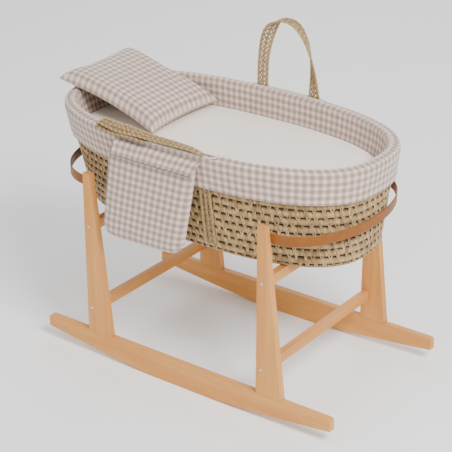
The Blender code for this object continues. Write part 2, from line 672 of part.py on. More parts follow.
def build_pillow(root):
    """A crowned pad leaning from the sheet over the rim at the head end, a little arched."""
    columns, rows = 10, 8
    foot_z = SHEET_TOP_Z + PILLOW_REST + PILLOW_EDGE / 2
    crest_z = WALL_TOP_Z + CREST + PILLOW_REST + PILLOW_EDGE / 2
    head_x = -RIM_LENGTH / 2 - PILLOW_OVERHANG
    half_width = PILLOW_WIDTH / 2
    arch = (crest_z - foot_z) / 2 - PILLOW_SAG
    near_y, far_y = PILLOW_Y - half_width, PILLOW_Y + half_width
    corners = [Vector((PILLOW_FOOT_X, near_y, foot_z)),
               Vector((PILLOW_FOOT_X + PILLOW_STRETCH[0], far_y + PILLOW_STRETCH[1], foot_z)),
               Vector((head_x, near_y, crest_z + PILLOW_NEAR_LIFT)),
               Vector((head_x + PILLOW_SKEW, far_y - PILLOW_SKEW / 2, crest_z + PILLOW_FAR_LIFT))]
    bm = bmesh.new()
    top_rows, low_rows = [], []
    for i in range(columns + 1):
        top_row, low_row = [], []
        for j in range(rows + 1):
            s, t = i / columns, j / rows
            u, v = 2 * s - 1, 2 * t - 1
            s += PILLOW_DRAW * u * (v * v - 1) * abs(u) ** 2
            t += PILLOW_DRAW * v * (u * u - 1) * abs(v) ** 2
            foot_edge = corners[0].lerp(corners[1], t)
            head_edge = corners[2].lerp(corners[3], t)
            middle = foot_edge.lerp(head_edge, s) + Vector((0, 0, arch * math.sin(math.pi * s)))
            swell = (PILLOW_THICK - PILLOW_EDGE) * ((1 - u ** 4) * (1 - v ** 4)) ** 0.6
            upper = PILLOW_EDGE / 2 + swell * (1 - PILLOW_BELLY)
            lower = PILLOW_EDGE / 2 + swell * PILLOW_BELLY
            top_row.append(bm.verts.new(middle + Vector((0, 0, upper))))
            low_row.append(bm.verts.new(middle - Vector((0, 0, lower))))
        top_rows.append(top_row)
        low_rows.append(low_row)
    for i in range(columns):
        for j in range(rows):
            bm.faces.new((top_rows[i][j], top_rows[i + 1][j], top_rows[i + 1][j + 1], top_rows[i][j + 1]))
            bm.faces.new((low_rows[i][j], low_rows[i][j + 1], low_rows[i + 1][j + 1], low_rows[i + 1][j]))
    border = [(i, 0) for i in range(columns)] + [(columns, j) for j in range(rows)]
    border += [(i, rows) for i in range(columns, 0, -1)] + [(0, j) for j in range(rows, 0, -1)]
    for (i, j), (k, m) in zip(border, border[1:] + border[:1]):
        bm.faces.new((top_rows[i][j], low_rows[i][j], low_rows[k][m], top_rows[k][m]))
    add_object("pillow", bm, "gingham", root, smooth=True)


# ---- pouch -----------------------------------------------------------------------------------
def pouch_back_y():
    """The pouch hangs straight down from just outside the skirt, flat along the rim."""
    skirt = BAND_CLEARANCE + STRIP_THICK + SKIRT_CLEARANCE + SKIRT
    return -wall_y(0, WALL_TOP_Z, skirt + POUCH_CLEARANCE)


def pouch_depth(z, low, high):
    share = (high - z) / (high - low)
    return POUCH_THICK_TOP + (POUCH_THICK_LOW - POUCH_THICK_TOP) * math.sin(math.pi / 2 * share)


def pouch_hang(x, z, low, high):
    """Where a point of the straight bag goes when it hangs a little askew."""
    across = (x - POUCH_LEFT) / POUCH_WIDTH
    down = (high - z) / (high - low)
    return (x + POUCH_SWAY * down + (POUCH_SPREAD - POUCH_TAPER * down) * across,
            z + POUCH_TILT * across * max(down, 0) ** 2)


def pouch_shell(inset, low, high, mouth):
    """Block with rounded lower corners; inset shrinks it to the pocket's inside."""
    columns = 10
    rows = []
    left, right = POUCH_LEFT + inset, POUCH_LEFT + POUCH_WIDTH - inset
    corner = POUCH_CORNER - inset
    floor = low + inset
    for x in wall_stations(left, right, columns):
        near_edge = min(x - left, right - x)
        lift = corner - math.sqrt(max(corner ** 2 - max(corner - near_edge, 0) ** 2, 0))
        row_low = floor + min(lift, corner * 0.98)
        back, front = [], []
        for z in wall_stations(row_low, mouth, 5):
            y = pouch_back_y() - inset
            hung_x, hung_z = pouch_hang(x, z, low, high)
            front_y = y + 2 * inset - pouch_depth(min(z, high), low, high)
            back.append(Vector((hung_x, y, hung_z)))
            front.append(Vector((hung_x, front_y, hung_z)))
        rows.append(back + list(reversed(front)))
    return loft(rows, closed=False)


def build_pouch(root):
    high = WALL_TOP_Z - POUCH_TOP_BELOW
    low = high - POUCH_HEIGHT
    bag = add_object("pouch_bag", pouch_shell(0, low, high, high), "gingham", root)
    boolean(bag, [pouch_shell(POUCH_CLOTH, low, high, high + 5 * MM)], "DIFFERENCE", root)

    top = WALL_TOP_Z + FLAP_ABOVE
    drop = high - FLAP_DROP + POUCH_TOP_BELOW
    y = pouch_back_y()
    front = y - pouch_depth(drop, low, high) - POUCH_CLEARANCE
    corner = y - POUCH_THICK_TOP - POUCH_CLEARANCE
    section = [(y, top), (y, high + POUCH_CLEARANCE), (corner, high + POUCH_CLEARANCE), (front, drop),
               (front - FLAP_THICK, drop), (corner - FLAP_THICK, high + FLAP_THICK), (y - FLAP_THICK, top)]
    left = POUCH_LEFT + FLAP_LEFT_INSET
    width = POUCH_WIDTH + POUCH_SPREAD - FLAP_LEFT_INSET - FLAP_RIGHT_INSET
    rows = []
    for share in wall_stations(0, 1, 8):
        rows.append([Vector((left + share * (width + FLAP_SLANT * (z - drop) / (top - drop)), depth, z))
                     for depth, z in section])
    add_object("pouch_flap", loft(rows, closed=False), "gingham", root)


# ---- assembly --------------------------------------------------------------------------------
def centre_on_origin(root):
    """Move the whole so that its box stands on the floor, centred over the origin."""
    bpy.context.view_layer.update()
    low, high = Vector((1e9,) * 3), Vector((-1e9,) * 3)
    for item in bpy.data.objects:
        if item.type != "MESH" or item.hide_render:
            continue
        for vertex in item.data.vertices:
            point = item.matrix_world @ vertex.co
            for axis in range(3):
                low[axis] = min(low[axis], point[axis])
                high[axis] = max(high[axis], point[axis])
    root.location = (-(low.x + high.x) / 2, -(low.y + high.y) / 2, -low.z)


def main():
    clear_scene()
    root = bpy.data.objects.new("moses_basket", None)
    bpy.context.scene.collection.objects.link(root)
    build_stand(root)
    build_strap("head", HEAD_LEG_X, -1, root)
    build_strap("foot", FOOT_LEG_X, 1, root)
    build_basket(root)
    build_bands(root)
    build_far_handle(root)
    build_near_handle(root)
    build_liner(root)
    build_bedding(root)
    build_pillow(root)
    build_pouch(root)
    centre_on_origin(root)


main()
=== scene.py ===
"""The looks of a moses basket on its rocking stand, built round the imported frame.

Metres, +Z up, floor at Z = 0.  X runs along the basket, +X towards the foot end; the
pouch hangs on the -Y side.  Every place is taken from the boxes of the frame's nodes.
"""
import math
import random

import bpy
import numpy as np
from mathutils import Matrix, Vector, noise


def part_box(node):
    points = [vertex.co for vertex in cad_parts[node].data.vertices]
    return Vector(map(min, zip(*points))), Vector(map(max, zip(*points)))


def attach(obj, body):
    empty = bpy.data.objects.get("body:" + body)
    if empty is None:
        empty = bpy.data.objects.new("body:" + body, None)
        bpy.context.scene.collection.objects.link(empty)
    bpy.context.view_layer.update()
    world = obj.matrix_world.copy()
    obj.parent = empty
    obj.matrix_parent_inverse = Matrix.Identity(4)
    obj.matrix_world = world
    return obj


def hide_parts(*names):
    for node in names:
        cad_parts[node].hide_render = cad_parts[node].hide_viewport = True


MM = 0.001
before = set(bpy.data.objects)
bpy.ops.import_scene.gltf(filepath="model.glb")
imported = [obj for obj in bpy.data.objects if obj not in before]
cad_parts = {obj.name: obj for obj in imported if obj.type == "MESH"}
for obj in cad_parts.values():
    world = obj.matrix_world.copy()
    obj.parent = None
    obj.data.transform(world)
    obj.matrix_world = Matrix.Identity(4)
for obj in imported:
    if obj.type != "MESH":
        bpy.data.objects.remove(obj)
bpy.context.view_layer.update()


# ---- places read from the frame ----
def corners(node):
    low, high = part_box(node)
    return Vector(low), Vector(high)


WALL_LOW, WALL_HIGH = corners("basket_wall")
COIL_LOW, COIL_HIGH = corners("rim_coil")
BASE_Z, TOP_Z = WALL_LOW.z, WALL_HIGH.z
WALL_HEIGHT = TOP_Z - BASE_Z
RIM_MIDDLE = (COIL_LOW + COIL_HIGH) / 2
COIL_PROUD = 0.3 * MM  # how far the rim stands outside the coil's box
RIM_HALF = ((COIL_HIGH.x - COIL_LOW.x) / 2 + COIL_PROUD, (COIL_HIGH.y - COIL_LOW.y) / 2 + COIL_PROUD)
BASE_HALF = (RIM_HALF[0] - 42 * MM, RIM_HALF[1] - 39 * MM)
LEAN = 17 * MM  # how far the foot of the wall is set towards +X
OVAL = 2.55  # exponent of the oval
BELLY = 0.8  # exponent of the wall's widening
FAR_LOW, FAR_HIGH = corners("handle_far")
BAND_LOW, BAND_HIGH = corners("handle_band_near_head")
STRIP_WIDTH = BAND_HIGH.x - BAND_LOW.x
STRIP_THICK = 5 * MM
ARM_HEAD_X = (BAND_LOW.x + BAND_HIGH.x) / 2
ARM_FOOT_X = sum(corner.x for corner in corners("handle_band_near_foot")) / 2
HANDLE_X = (ARM_HEAD_X + ARM_FOOT_X) / 2
STRIP_MIDDLE = 2.9 * MM  # middle of a strip, outside the wall's face
STRAP_OVAL = 2.1  # exponent of the leather straps' oval


# ---- camera ----
CAMERA_AZIMUTH = math.radians(36.264)
CAMERA_ELEVATION = math.radians(25.2215)
CAMERA_LENS, CAMERA_SENSOR = 121.04, 36
CAMERA_FROM_LEG = Vector((2.26875, -2.50766, 1.87280))


def link(name, data):
    item = bpy.data.objects.new(name, data)
    bpy.context.scene.collection.objects.link(item)
    return item


def make_camera():
    """Stands in front of the foot end's near corner, looking down on the basket."""
    level = math.cos(CAMERA_ELEVATION)
    back = Vector((math.sin(CAMERA_AZIMUTH) * level, -math.cos(CAMERA_AZIMUTH) * level,
                   math.sin(CAMERA_ELEVATION)))
    data = bpy.data.cameras.new("camera")
    data.lens, data.sensor_width = CAMERA_LENS, CAMERA_SENSOR
    data.clip_end = 50
    camera = link("camera", data)
    camera.location = corners("leg_near_head")[0] + CAMERA_FROM_LEG
    camera.rotation_mode = "QUATERNION"
    camera.rotation_quaternion = (-back).to_track_quat("-Z", "Y")
    bpy.context.scene.camera = camera


make_camera()


# ---- the oval of the basket ----
def wall_size(z):
    """Middle in X, half length and half width of the wall's outside at height z."""
    share = min(max((z - BASE_Z) / WALL_HEIGHT, 0), 1)
    half_length = BASE_HALF[0] + (RIM_HALF[0] - BASE_HALF[0]) * share
    half_width = BASE_HALF[1] + (RIM_HALF[1] - BASE_HALF[1]) * share ** BELLY
    return RIM_MIDDLE.x + LEAN * (1 - share), half_length, half_width


def bent(values, exponent=2 / OVAL):
    """Values raised to the exponent, each with the sign it had."""
    return np.sign(values) * np.abs(values) ** exponent


def even_angles(steps):
    """Oval angles whose points are evenly spaced along the rim, and the rim's length."""
    fine = np.linspace(0, math.tau, 4001)
    x = bent(np.cos(fine)) * RIM_HALF[0]
    y = bent(np.sin(fine)) * RIM_HALF[1]
    along = np.concatenate(([0], np.cumsum(np.hypot(np.diff(x), np.diff(y)))))
    places = np.linspace(0, along[-1], steps + 1)
    return np.interp(places, along, fine)[:-1], along[-1]


RIM_AROUND = even_angles(8)[1]


def ring(z, offset, angles):
    """Points of the wall's outline at height z, moved outwards by offset (a number or one each)."""
    middle, half_length, half_width = wall_size(z)
    x = bent(np.cos(angles)) * (half_length + offset)
    y = bent(np.sin(angles)) * (half_width + offset)
    return np.stack((middle + x, RIM_MIDDLE.y + y, np.full_like(x, 1) * z), axis=-1)


def wall_y(x, z, offset=0.0):
    """Half width of the wall, moved outwards by offset, at the place x."""
    middle, half_length, half_width = wall_size(z)
    share = min(abs(x - middle) / (half_length + offset), 1.0)
    return (half_width + offset) * (1 - share ** OVAL) ** (1 / OVAL)


def unit(vectors):
    return vectors / np.maximum(np.linalg.norm(vectors, axis=-1, keepdims=True), 1e-12)


def outward(points):
    """Directions straight out of the basket's oval at the points."""
    middle = np.array((RIM_MIDDLE.x, RIM_MIDDLE.y, 0))
    return unit((points - middle) * np.array((1 / RIM_HALF[0] ** 2, 1 / RIM_HALF[1] ** 2, 0)))


def lengths_along(line):
    """Distance from the line's start to each of its points."""
    return np.concatenate(([0], np.cumsum(np.linalg.norm(np.diff(line, axis=0), axis=1))))


def uv_grid(across, along):
    """UVs of a grid whose U follows its columns and whose V follows its rows."""
    return np.stack(np.broadcast_arrays(np.asarray(across)[None, :], np.asarray(along)[:, None]), -1)


def closed_uv(u, v):
    """UVs of rings that close on themselves, from a U and a V for each point."""
    uv = np.stack(np.broadcast_arrays(u, v), -1)
    return np.concatenate((uv, uv[:, :1]), axis=1)


# ---- mesh making ----
class Maker:
    """Collects grids of points into one mesh, with UVs in metres and a tone for each strand."""

    def __init__(self):
        self.points, self.faces, self.uvs, self.tones, self.painted_shades_and_tints = [], [], [], [], []
        self.count = 0

    def grid(self, points, uv, wrap_rows=False, wrap_columns=False, caps=False, tone=0.5, painted_shade_and_tint=0.0):
        """points is rows x columns x 3; uv has one more row or column where the grid wraps."""
        points, uv = np.asarray(points, float), np.asarray(uv, float)
        rows, columns = points.shape[:2]
        i = np.arange(rows if wrap_rows else rows - 1)[:, None]
        j = np.arange(columns if wrap_columns else columns - 1)[None, :]
        i, j = [part.ravel() for part in np.broadcast_arrays(i, j)]
        i2, j2 = (i + 1) % rows, (j + 1) % columns
        quads = np.stack((i * columns + j, i * columns + j2, i2 * columns + j2, i2 * columns + j), -1)
        loops = np.stack((uv[i, j], uv[i, j + 1], uv[i + 1, j + 1], uv[i + 1, j]), 1)
        self.faces += (quads + self.count).tolist()
        self.uvs.append(loops.reshape(-1, 2))
        if caps:
            ends = (list(range(columns))[::-1], [(rows - 1) * columns + k for k in range(columns)])
            for end, row in zip(ends, (0, -1)):
                self.faces.append([k + self.count for k in end])
                flat = uv[row, :columns]
                self.uvs.append(flat[::-1] if row == 0 else flat)
        self.points.append(points.reshape(-1, 3))
        self.tones.append(np.full(rows * columns, tone))
        self.painted_shades_and_tints.append(np.broadcast_to(painted_shade_and_tint, (rows, columns)).ravel())
        self.count += rows * columns

    def finish(self, name, material):
        mesh = bpy.data.meshes.new(name)
        mesh.from_pydata(np.concatenate(self.points).tolist(), [], self.faces)
        layer = mesh.uv_layers.new(name="UVMap")
        layer.data.foreach_set("uv", np.concatenate(self.uvs).astype(np.float32).ravel())
        for label, values in (("tone", self.tones), ("painted_shade_and_tint", self.painted_shades_and_tints)):
            attribute = mesh.attributes.new(label, "FLOAT", "POINT")
            attribute.data.foreach_set("value", np.concatenate(values).astype(np.float32))
        mesh.polygons.foreach_set("use_smooth", np.full(len(mesh.polygons), True))
        mesh.materials.append(material)
        mesh.update()
        return link(name, mesh)


def coat(item, material):
    """Give a frame node's own shape a material."""
    item.data.materials.clear()
    item.data.materials.append(material)


def place(item, body, slot, *nodes):
    """Finish a piece: it rides on a body and stands for its frame nodes. The slot is not used."""
    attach(item, body)
    if nodes:
        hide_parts(*nodes)
    return item


def smooth_line(points, steps):
    """Catmull-Rom curve through the points, with steps samples between each two."""
    points = [np.asarray(p, float) for p in points]
    ends = [2 * points[0] - points[1]] + points + [2 * points[-1] - points[-2]]
    line = []
    for a, b, c, d in zip(ends, ends[1:], ends[2:], ends[3:]):
        for step in range(steps):
            t = step / steps
            line.append(0.5 * (2 * b + (c - a) * t + (2 * a - 5 * b + 4 * c - d) * t * t
                               + (3 * b - 3 * c + d - a) * t ** 3))
    return np.array(line + [points[-1]])


def resample(places, along, values):
    """Values at new places, from their values at the places along."""
    return np.stack([np.interp(places, along, values[:, k]) for k in range(3)], -1)


def even_line(line, spacing):
    """The same line with its points evenly spaced."""
    line = np.asarray(line, float)
    along = lengths_along(line)
    places = np.linspace(0, along[-1], max(int(round(along[-1] / spacing)), 2) + 1)
    return resample(places, along, line), places


def tube(maker, line, across, size, sides=6, tone=0.5, painted_shade_and_tint=0.0):
    """A strand along a line; across gives the direction of its width, size its (width, thickness)."""
    line, across = np.asarray(line, float), np.asarray(across, float)
    tangent = unit(np.gradient(line, axis=0))
    across = np.broadcast_to(across, line.shape)
    across = unit(across - tangent * np.sum(across * tangent, -1, keepdims=True))
    through = np.cross(tangent, across)
    angles = math.tau * np.arange(sides) / sides
    points = line[:, None] + (across[:, None] * (np.cos(angles)[None, :, None] * size[0] / 2)
                              + through[:, None] * (np.sin(angles)[None, :, None] * size[1] / 2))
    around = np.linspace(0, 2 * (size[0] + size[1]), sides + 1) + tone * 0.37
    maker.grid(points, uv_grid(around, lengths_along(line)), wrap_columns=True, caps=True, tone=tone, painted_shade_and_tint=painted_shade_and_tint)


def wobble(points, scale, seed=0.0):
    """Smooth noise from -1 to 1 for each point."""
    shift = Vector((seed * 7.3, seed * 3.1, seed * 5.7))
    return np.array([noise.noise(Vector(p) / scale + shift) for p in np.reshape(points, (-1, 3))]
                    ).reshape(np.shape(points)[:-1])


# ---- materials ----
class Shader:
    """A Principled material whose node tree is built with short calls."""

    def __init__(self, name, roughness=0.8, **sockets):
        self.material = bpy.data.materials.new(name)
        self.material.use_nodes = True
        self.tree = self.material.node_tree
        self.main = self.tree.nodes["Principled BSDF"]
        self.main.inputs["Roughness"].default_value = roughness
        self.main.inputs["Specular IOR Level"].default_value = 0.25
        for key, value in sockets.items():
            self.main.inputs[key.replace("_", " ")].default_value = value

    def node(self, kind, inputs=(), **settings):
        made = self.tree.nodes.new("ShaderNode" + kind)
        for key, value in settings.items():
            setattr(made, key, value)
        for key, value in dict(inputs).items():
            self.set(made.inputs[key], value)
        return made

    def set(self, socket, value):
        if isinstance(value, bpy.types.NodeSocket):
            self.tree.links.new(value, socket)
        else:
            socket.default_value = value

    def math(self, operation, first, second=0.0, clamp=False):
        made = self.node("Math", {0: first, 1: second}, operation=operation)
        made.use_clamp = clamp
        return made.outputs[0]

    def times(self, *values):
        return self.math("MULTIPLY", *values)

    def plus(self, *values):
        return self.math("ADD", *values)

    def minus(self, *values):
        return self.math("SUBTRACT", *values)

    def attribute(self, name):
        return self.node("Attribute", attribute_name=name).outputs["Fac"]

    def uv(self):
        split = self.node("SeparateXYZ", {0: self.node("TexCoord").outputs["UV"]})
        return split.outputs[0], split.outputs[1]

    def point(self, x, y, z=0.0):
        return self.node("CombineXYZ", {0: x, 1: y, 2: z}).outputs[0]

    def noise(self, vector, scale, detail=2.0, roughness=0.5):
        made = self.node("TexNoise", {"Vector": vector, "Scale": scale, "Detail": detail,
                                      "Roughness": roughness})
        return made.outputs["Fac"]

    def ramp(self, value, stops):
        made = self.node("ValToRGB", {0: value})
        bar = made.color_ramp
        while len(bar.elements) < len(stops):
            bar.elements.new(0.5)
        for element, (position, colour) in zip(bar.elements, stops):
            element.position = position
            element.color = (*colour, 1)
        return made.outputs[0]

    def mix(self, factor, first, second, blend="MIX"):
        made = self.node("Mix", data_type="RGBA", blend_type=blend)
        for index, value in ((0, factor), (6, first), (7, second)):
            if isinstance(value, tuple):
                value = (*value, 1)
            self.set(made.inputs[index], value)
        return made.outputs[2]

    def colour(self, value):
        self.set(self.main.inputs["Base Color"], value)

    def rough(self, value, low, high):
        """Roughness between two values, as a mask goes from dark to light."""
        self.set(self.main.inputs["Roughness"], self.ramp(value, ((0.3, (low,) * 3), (0.7, (high,) * 3))))

    def bump(self, height, strength, distance):
        made = self.node("Bump", {"Height": height, "Strength": strength, "Distance": distance})
        self.tree.links.new(made.outputs[0], self.main.inputs["Normal"])


def stripe(shader, place_in, period, sharp):
    """1 on one half of each period and 0 on the other, with a soft edge."""
    share = shader.math("FRACT", shader.math("DIVIDE", place_in, period))
    off = shader.math("ABSOLUTE", shader.minus(share, 0.5))
    return shader.plus(shader.times(shader.minus(off, 0.25), sharp), 0.5, True)


def weave(shader, u, v, thread):
    """Height of a plain weave of crossing threads."""
    across = shader.math("SINE", shader.times(u, math.tau / thread))
    along = shader.math("SINE", shader.times(v, math.tau / thread))
    return shader.times(across, along)


GINGHAM_PERIOD = 17.6 * MM
CREAM = (0.72, 0.59, 0.50)
MIDDLE_TONE = (0.49, 0.368, 0.303)
TAUPE = (0.305, 0.217, 0.172)


def gingham():
    shader = Shader("gingham", 0.92, Sheen_Weight=0.25, Sheen_Roughness=0.5)
    u, v = shader.uv()
    sway = shader.times(shader.minus(shader.noise(shader.point(u, v), 14, 2), 0.5), 4 * MM)
    warp = stripe(shader, shader.plus(u, sway), GINGHAM_PERIOD, 7)
    weft = stripe(shader, shader.minus(v, sway), GINGHAM_PERIOD, 7)
    both = shader.times(shader.plus(warp, weft), 0.5)
    place_in = shader.point(u, v)
    threads = shader.noise(shader.point(shader.times(u, 6.0), v), 420, 3)
    mottled = shader.plus(both, shader.times(shader.minus(threads, 0.5), 0.45), True)
    colour = shader.ramp(mottled, ((0.0, CREAM), (0.5, MIDDLE_TONE), (1.0, TAUPE)))
    cloud = shader.ramp(shader.noise(place_in, 9, 2), ((0.3, (0.94,) * 3), (0.7, (1.0,) * 3)))
    shader.colour(shader.mix(1.0, colour, cloud, "MULTIPLY"))
    soft = shader.noise(place_in, 160, 3)
    height = shader.plus(weave(shader, u, v, 1.1 * MM), shader.times(soft, 2.0))
    shader.bump(height, 0.35, 0.4 * MM)
    return shader.material


def plain_cloth(name, light, dark, thread=0.9 * MM):
    shader = Shader(name, 0.9, Sheen_Weight=0.2, Sheen_Roughness=0.5)
    u, v = shader.uv()
    place_in = shader.point(u, v)
    threads = shader.noise(shader.point(shader.times(u, 5.0), v), 380, 2)
    cloud = shader.noise(place_in, 7, 2)
    share = shader.plus(shader.times(threads, 0.5), shader.times(cloud, 0.5))
    shader.colour(shader.ramp(share, ((0.3, dark), (0.7, light))))
    height = shader.plus(weave(shader, u, v, thread), shader.times(cloud, 1.5))
    shader.bump(height, 0.25, 0.3 * MM)
    return shader.material


STRAW_TONES = ((0.0, (0.06, 0.030, 0.011)), (0.3, (0.20, 0.112, 0.042)), (0.6, (0.40, 0.262, 0.114)),
               (1.0, (0.64, 0.49, 0.28)))
# Near-black brown that the straw is mixed towards: painted shade in the wall's grooves, under the bands and between
# floor coils, and the darker lacings.
PAINTED_SHADE_AND_DARK_STRAW = (0.03, 0.014, 0.004)


def straw(name, strip_width=0.0):
    """Palm leaf: fibres along V, tone by strand, or by leaf strip where strip_width is given."""
    shader = Shader(name, 0.62, Sheen_Weight=0.1)
    u, v = shader.uv()
    fibres = shader.noise(shader.point(u, shader.times(v, 0.07)), 900, 3, 0.6)
    patches = shader.noise(shader.point(u, v), 22, 3)
    tone = shader.attribute("tone")
    edge = None
    if strip_width:
        slant = shader.times(v, 0.16)
        sway = shader.times(shader.noise(shader.point(u, v), 35), 4 * MM)
        place_in = shader.math("DIVIDE", shader.plus(shader.plus(u, slant), sway), strip_width)
        cell = shader.plus(shader.math("FLOOR", place_in), shader.times(tone, 91.0))
        chance = shader.node("TexWhiteNoise", {"W": cell}, noise_dimensions="1D")
        tone = chance.outputs["Value"]
        off = shader.math("ABSOLUTE", shader.minus(shader.math("FRACT", place_in), 0.5))
        edge = shader.times(shader.minus(off, 0.36), 7.0, True)
    share = shader.times(fibres, 0.42)
    share = shader.plus(share, shader.times(tone, 0.38))
    share = shader.plus(share, shader.times(patches, 0.3), True)
    colour = shader.ramp(share, STRAW_TONES)
    if edge is not None:
        colour = shader.mix(shader.times(edge, 0.55), colour, (0.25, 0.165, 0.07))
    # Mixing towards it by the attribute paints shade into grooves, under the bands and between coils; on lacings it is
    # a random darker tone of the straw.
    shader.colour(shader.mix(shader.attribute("painted_shade_and_tint"), colour, PAINTED_SHADE_AND_DARK_STRAW))
    height = fibres
    if edge is not None:
        height = shader.minus(fibres, shader.times(edge, 1.2))
    shader.bump(height, 0.7, 0.7 * MM)
    return shader.material


BEECH = ((0.49, 0.195, 0.042), (0.60, 0.265, 0.064), (0.70, 0.335, 0.095))


def beech(name, axis, seed):
    """Pale beech with its grain and short dark flecks along one axis."""
    shader = Shader(name, 0.48, Coat_Weight=0.08, Coat_Roughness=0.35)
    place_in = shader.node("TexCoord").outputs["Object"]
    stretch = [1.0, 1.0, 1.0]
    stretch["XYZ".index(axis)] = 0.06
    lines = shader.node("Mapping", {"Vector": place_in, "Location": (seed * 1.7, seed * 0.9, seed * 2.3),
                                    "Scale": stretch}).outputs[0]
    grain = shader.noise(lines, 75, 4, 0.6)
    broad = shader.noise(lines, 16, 2)
    share = shader.plus(shader.times(grain, 0.55), shader.times(broad, 0.5), True)
    colour = shader.ramp(share, ((0.25, BEECH[0]), (0.5, BEECH[1]), (0.75, BEECH[2])))
    flecks = shader.ramp(shader.noise(lines, 420, 2, 0.4), ((0.62, (0.0,) * 3), (0.70, (1.0,) * 3)))
    shader.colour(shader.mix(shader.times(flecks, 0.35), colour, (0.36, 0.175, 0.07)))
    shader.bump(grain, 0.12, 0.4 * MM)
    shader.rough(grain, 0.55, 0.42)
    return shader.material


def leather():
    shader = Shader("leather", 0.5, Coat_Weight=0.05)
    u, v = shader.uv()
    place_in = shader.point(u, v)
    pores = shader.node("TexVoronoi", {"Vector": place_in, "Scale": 900.0}).outputs["Distance"]
    cloud = shader.noise(place_in, 30, 3)
    tan = shader.ramp(cloud, ((0.3, (0.19, 0.056, 0.004)), (0.7, (0.245, 0.080, 0.0065))))
    shader.colour(shader.mix(shader.attribute("painted_shade_and_tint"), tan, (0.22, 0.08, 0.02)))
    shader.rough(cloud, 0.42, 0.56)
    shader.bump(pores, 0.2, 0.2 * MM)
    return shader.material


def steel():
    shader = Shader("steel", 0.3, Metallic=1.0)
    place_in = shader.node("TexCoord").outputs["Object"]
    brushed = shader.noise(place_in, 900, 2)
    shader.colour(shader.ramp(brushed, ((0.3, (0.52, 0.52, 0.53)), (0.7, (0.70, 0.70, 0.71)))))
    shader.rough(brushed, 0.24, 0.4)
    return shader.material


GINGHAM = gingham()
SHEET_CLOTH = plain_cloth("sheet_cloth", (0.87, 0.80, 0.73), (0.82, 0.745, 0.67))
TICKING = plain_cloth("ticking", (0.82, 0.79, 0.72), (0.76, 0.73, 0.66), 1.4 * MM)
TAPE = plain_cloth("tape_cloth", (0.78, 0.73, 0.66), (0.66, 0.61, 0.54))
# Dark brown cloth for the tube under the flap's hem: painted shadow.
PAINTED_HEM_SHADOW = plain_cloth("painted_hem_shadow", (0.21, 0.135, 0.10), (0.14, 0.085, 0.06))
COILED_STRAW = straw("coiled_straw", 5.2 * MM)
PLAITED_STRAW = straw("plaited_straw")
LEATHER = leather()
STEEL = steel()


# ---- rocking stand ----
BOARD_EDGE = 1.8 * MM  # how far the boards' edges are rounded over
SCREW_EDGE = 0.3 * MM
STRAP_THICK = 2.4 * MM
STRAP_FROM_LEG = 12.2 * MM  # from a leg's low side in X to the line the strap's curve is set from
STRAP_START = 12.4 * MM  # from that line to where the curve begins


def finish_timber():
    """The boards keep their shape, with their edges rounded over and the grain along their length."""
    axes = {"rocker": "X", "leg": "Z", "crossbar": "Y", "stretcher": "Y", "dowel": "Z"}
    for number, (name, item) in enumerate(sorted(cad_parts.items())):
        axis = axes.get(name.split("_")[0])
        if axis:
            coat(item, beech("beech_" + name, axis, number))
            if not name.startswith("dowel"):
                round_edges(item, BOARD_EDGE)
        elif name.startswith(("screw", "strap_screw")):
            coat(item, STEEL)
            round_edges(item, SCREW_EDGE)


def round_edges(item, width):
    weld = item.modifiers.new("weld", "WELD")
    weld.merge_threshold = 0.01 * MM
    bevel = item.modifiers.new("bevel", "BEVEL")
    bevel.width = width
    bevel.segments = 3
    bevel.limit_method = "ANGLE"
    bevel.angle_limit = math.radians(35)
    bevel.harden_normals = False
    item.data.polygons.foreach_set("use_smooth", np.full(len(item.data.polygons), True))
    sharp = item.modifiers.new("flat_faces", "WEIGHTED_NORMAL")
    sharp.keep_sharp = False


def make_strap(end):
    """A leather strap from leg to leg round the basket's end, screwed inside the legs."""
    low, high = corners("strap_" + end)
    leg_low = corners("leg_near_" + end)[0]
    toward = 1 if end == "foot" else -1
    thick = STRAP_THICK
    width = high.z - low.z
    start_x = low.x + thick / 2 if toward > 0 else high.x - thick / 2
    tip_x = high.x - thick / 2 if toward > 0 else low.x + thick / 2
    edge_x = leg_low.x + STRAP_FROM_LEG + toward * STRAP_START
    reach_y = (high.y - low.y) / 2 - thick / 2
    middle_y = (high.y + low.y) / 2
    z = (low.z + high.z) / 2
    line = [(start_x, middle_y - reach_y, z)]
    for angle in np.linspace(-math.pi / 2, math.pi / 2, 121):
        cos, sin = math.cos(angle), math.sin(angle)
        x = edge_x + (tip_x - edge_x) * abs(cos) ** (2 / STRAP_OVAL)
        line.append((x, middle_y + math.copysign(abs(sin) ** (2 / STRAP_OVAL), sin) * reach_y, z))
    line.append((start_x, middle_y + reach_y, z))
    line, places = even_line(line, 4 * MM)
    tangent = unit(np.gradient(line, axis=0))
    through = np.cross(tangent, (0, 0, 1))
    section = []
    for y, up in ((1, 0.97), (1, 0.7), (1, 0), (1, -0.7), (1, -0.97), (0.4, -1), (-0.4, -1),
                  (-1, -0.97), (-1, -0.7), (-1, 0), (-1, 0.7), (-1, 0.97), (-0.4, 1), (0.4, 1)):
        section.append((y * thick / 2, up * width / 2))
    section = np.array(section)
    points = (line[:, None] + through[:, None] * section[None, :, :1]
              + np.array((0, 0, 1.0)) * section[None, :, 1:])
    uv = uv_grid(np.append(lengths_along(section), 0.056), places)
    # Tints the strap's narrow top and bottom faces with the leather's edge colour, not shade.
    painted_shade_and_tint = np.where(np.abs(section[:, 1]) > 0.94 * width / 2, 0.75, 0.0)[None, :]
    maker = Maker()
    maker.grid(points, uv, wrap_columns=True, caps=True, painted_shade_and_tint=painted_shade_and_tint)
    place(maker.finish("leather_strap_" + end, LEATHER), "stand", "leather", "strap_" + end)


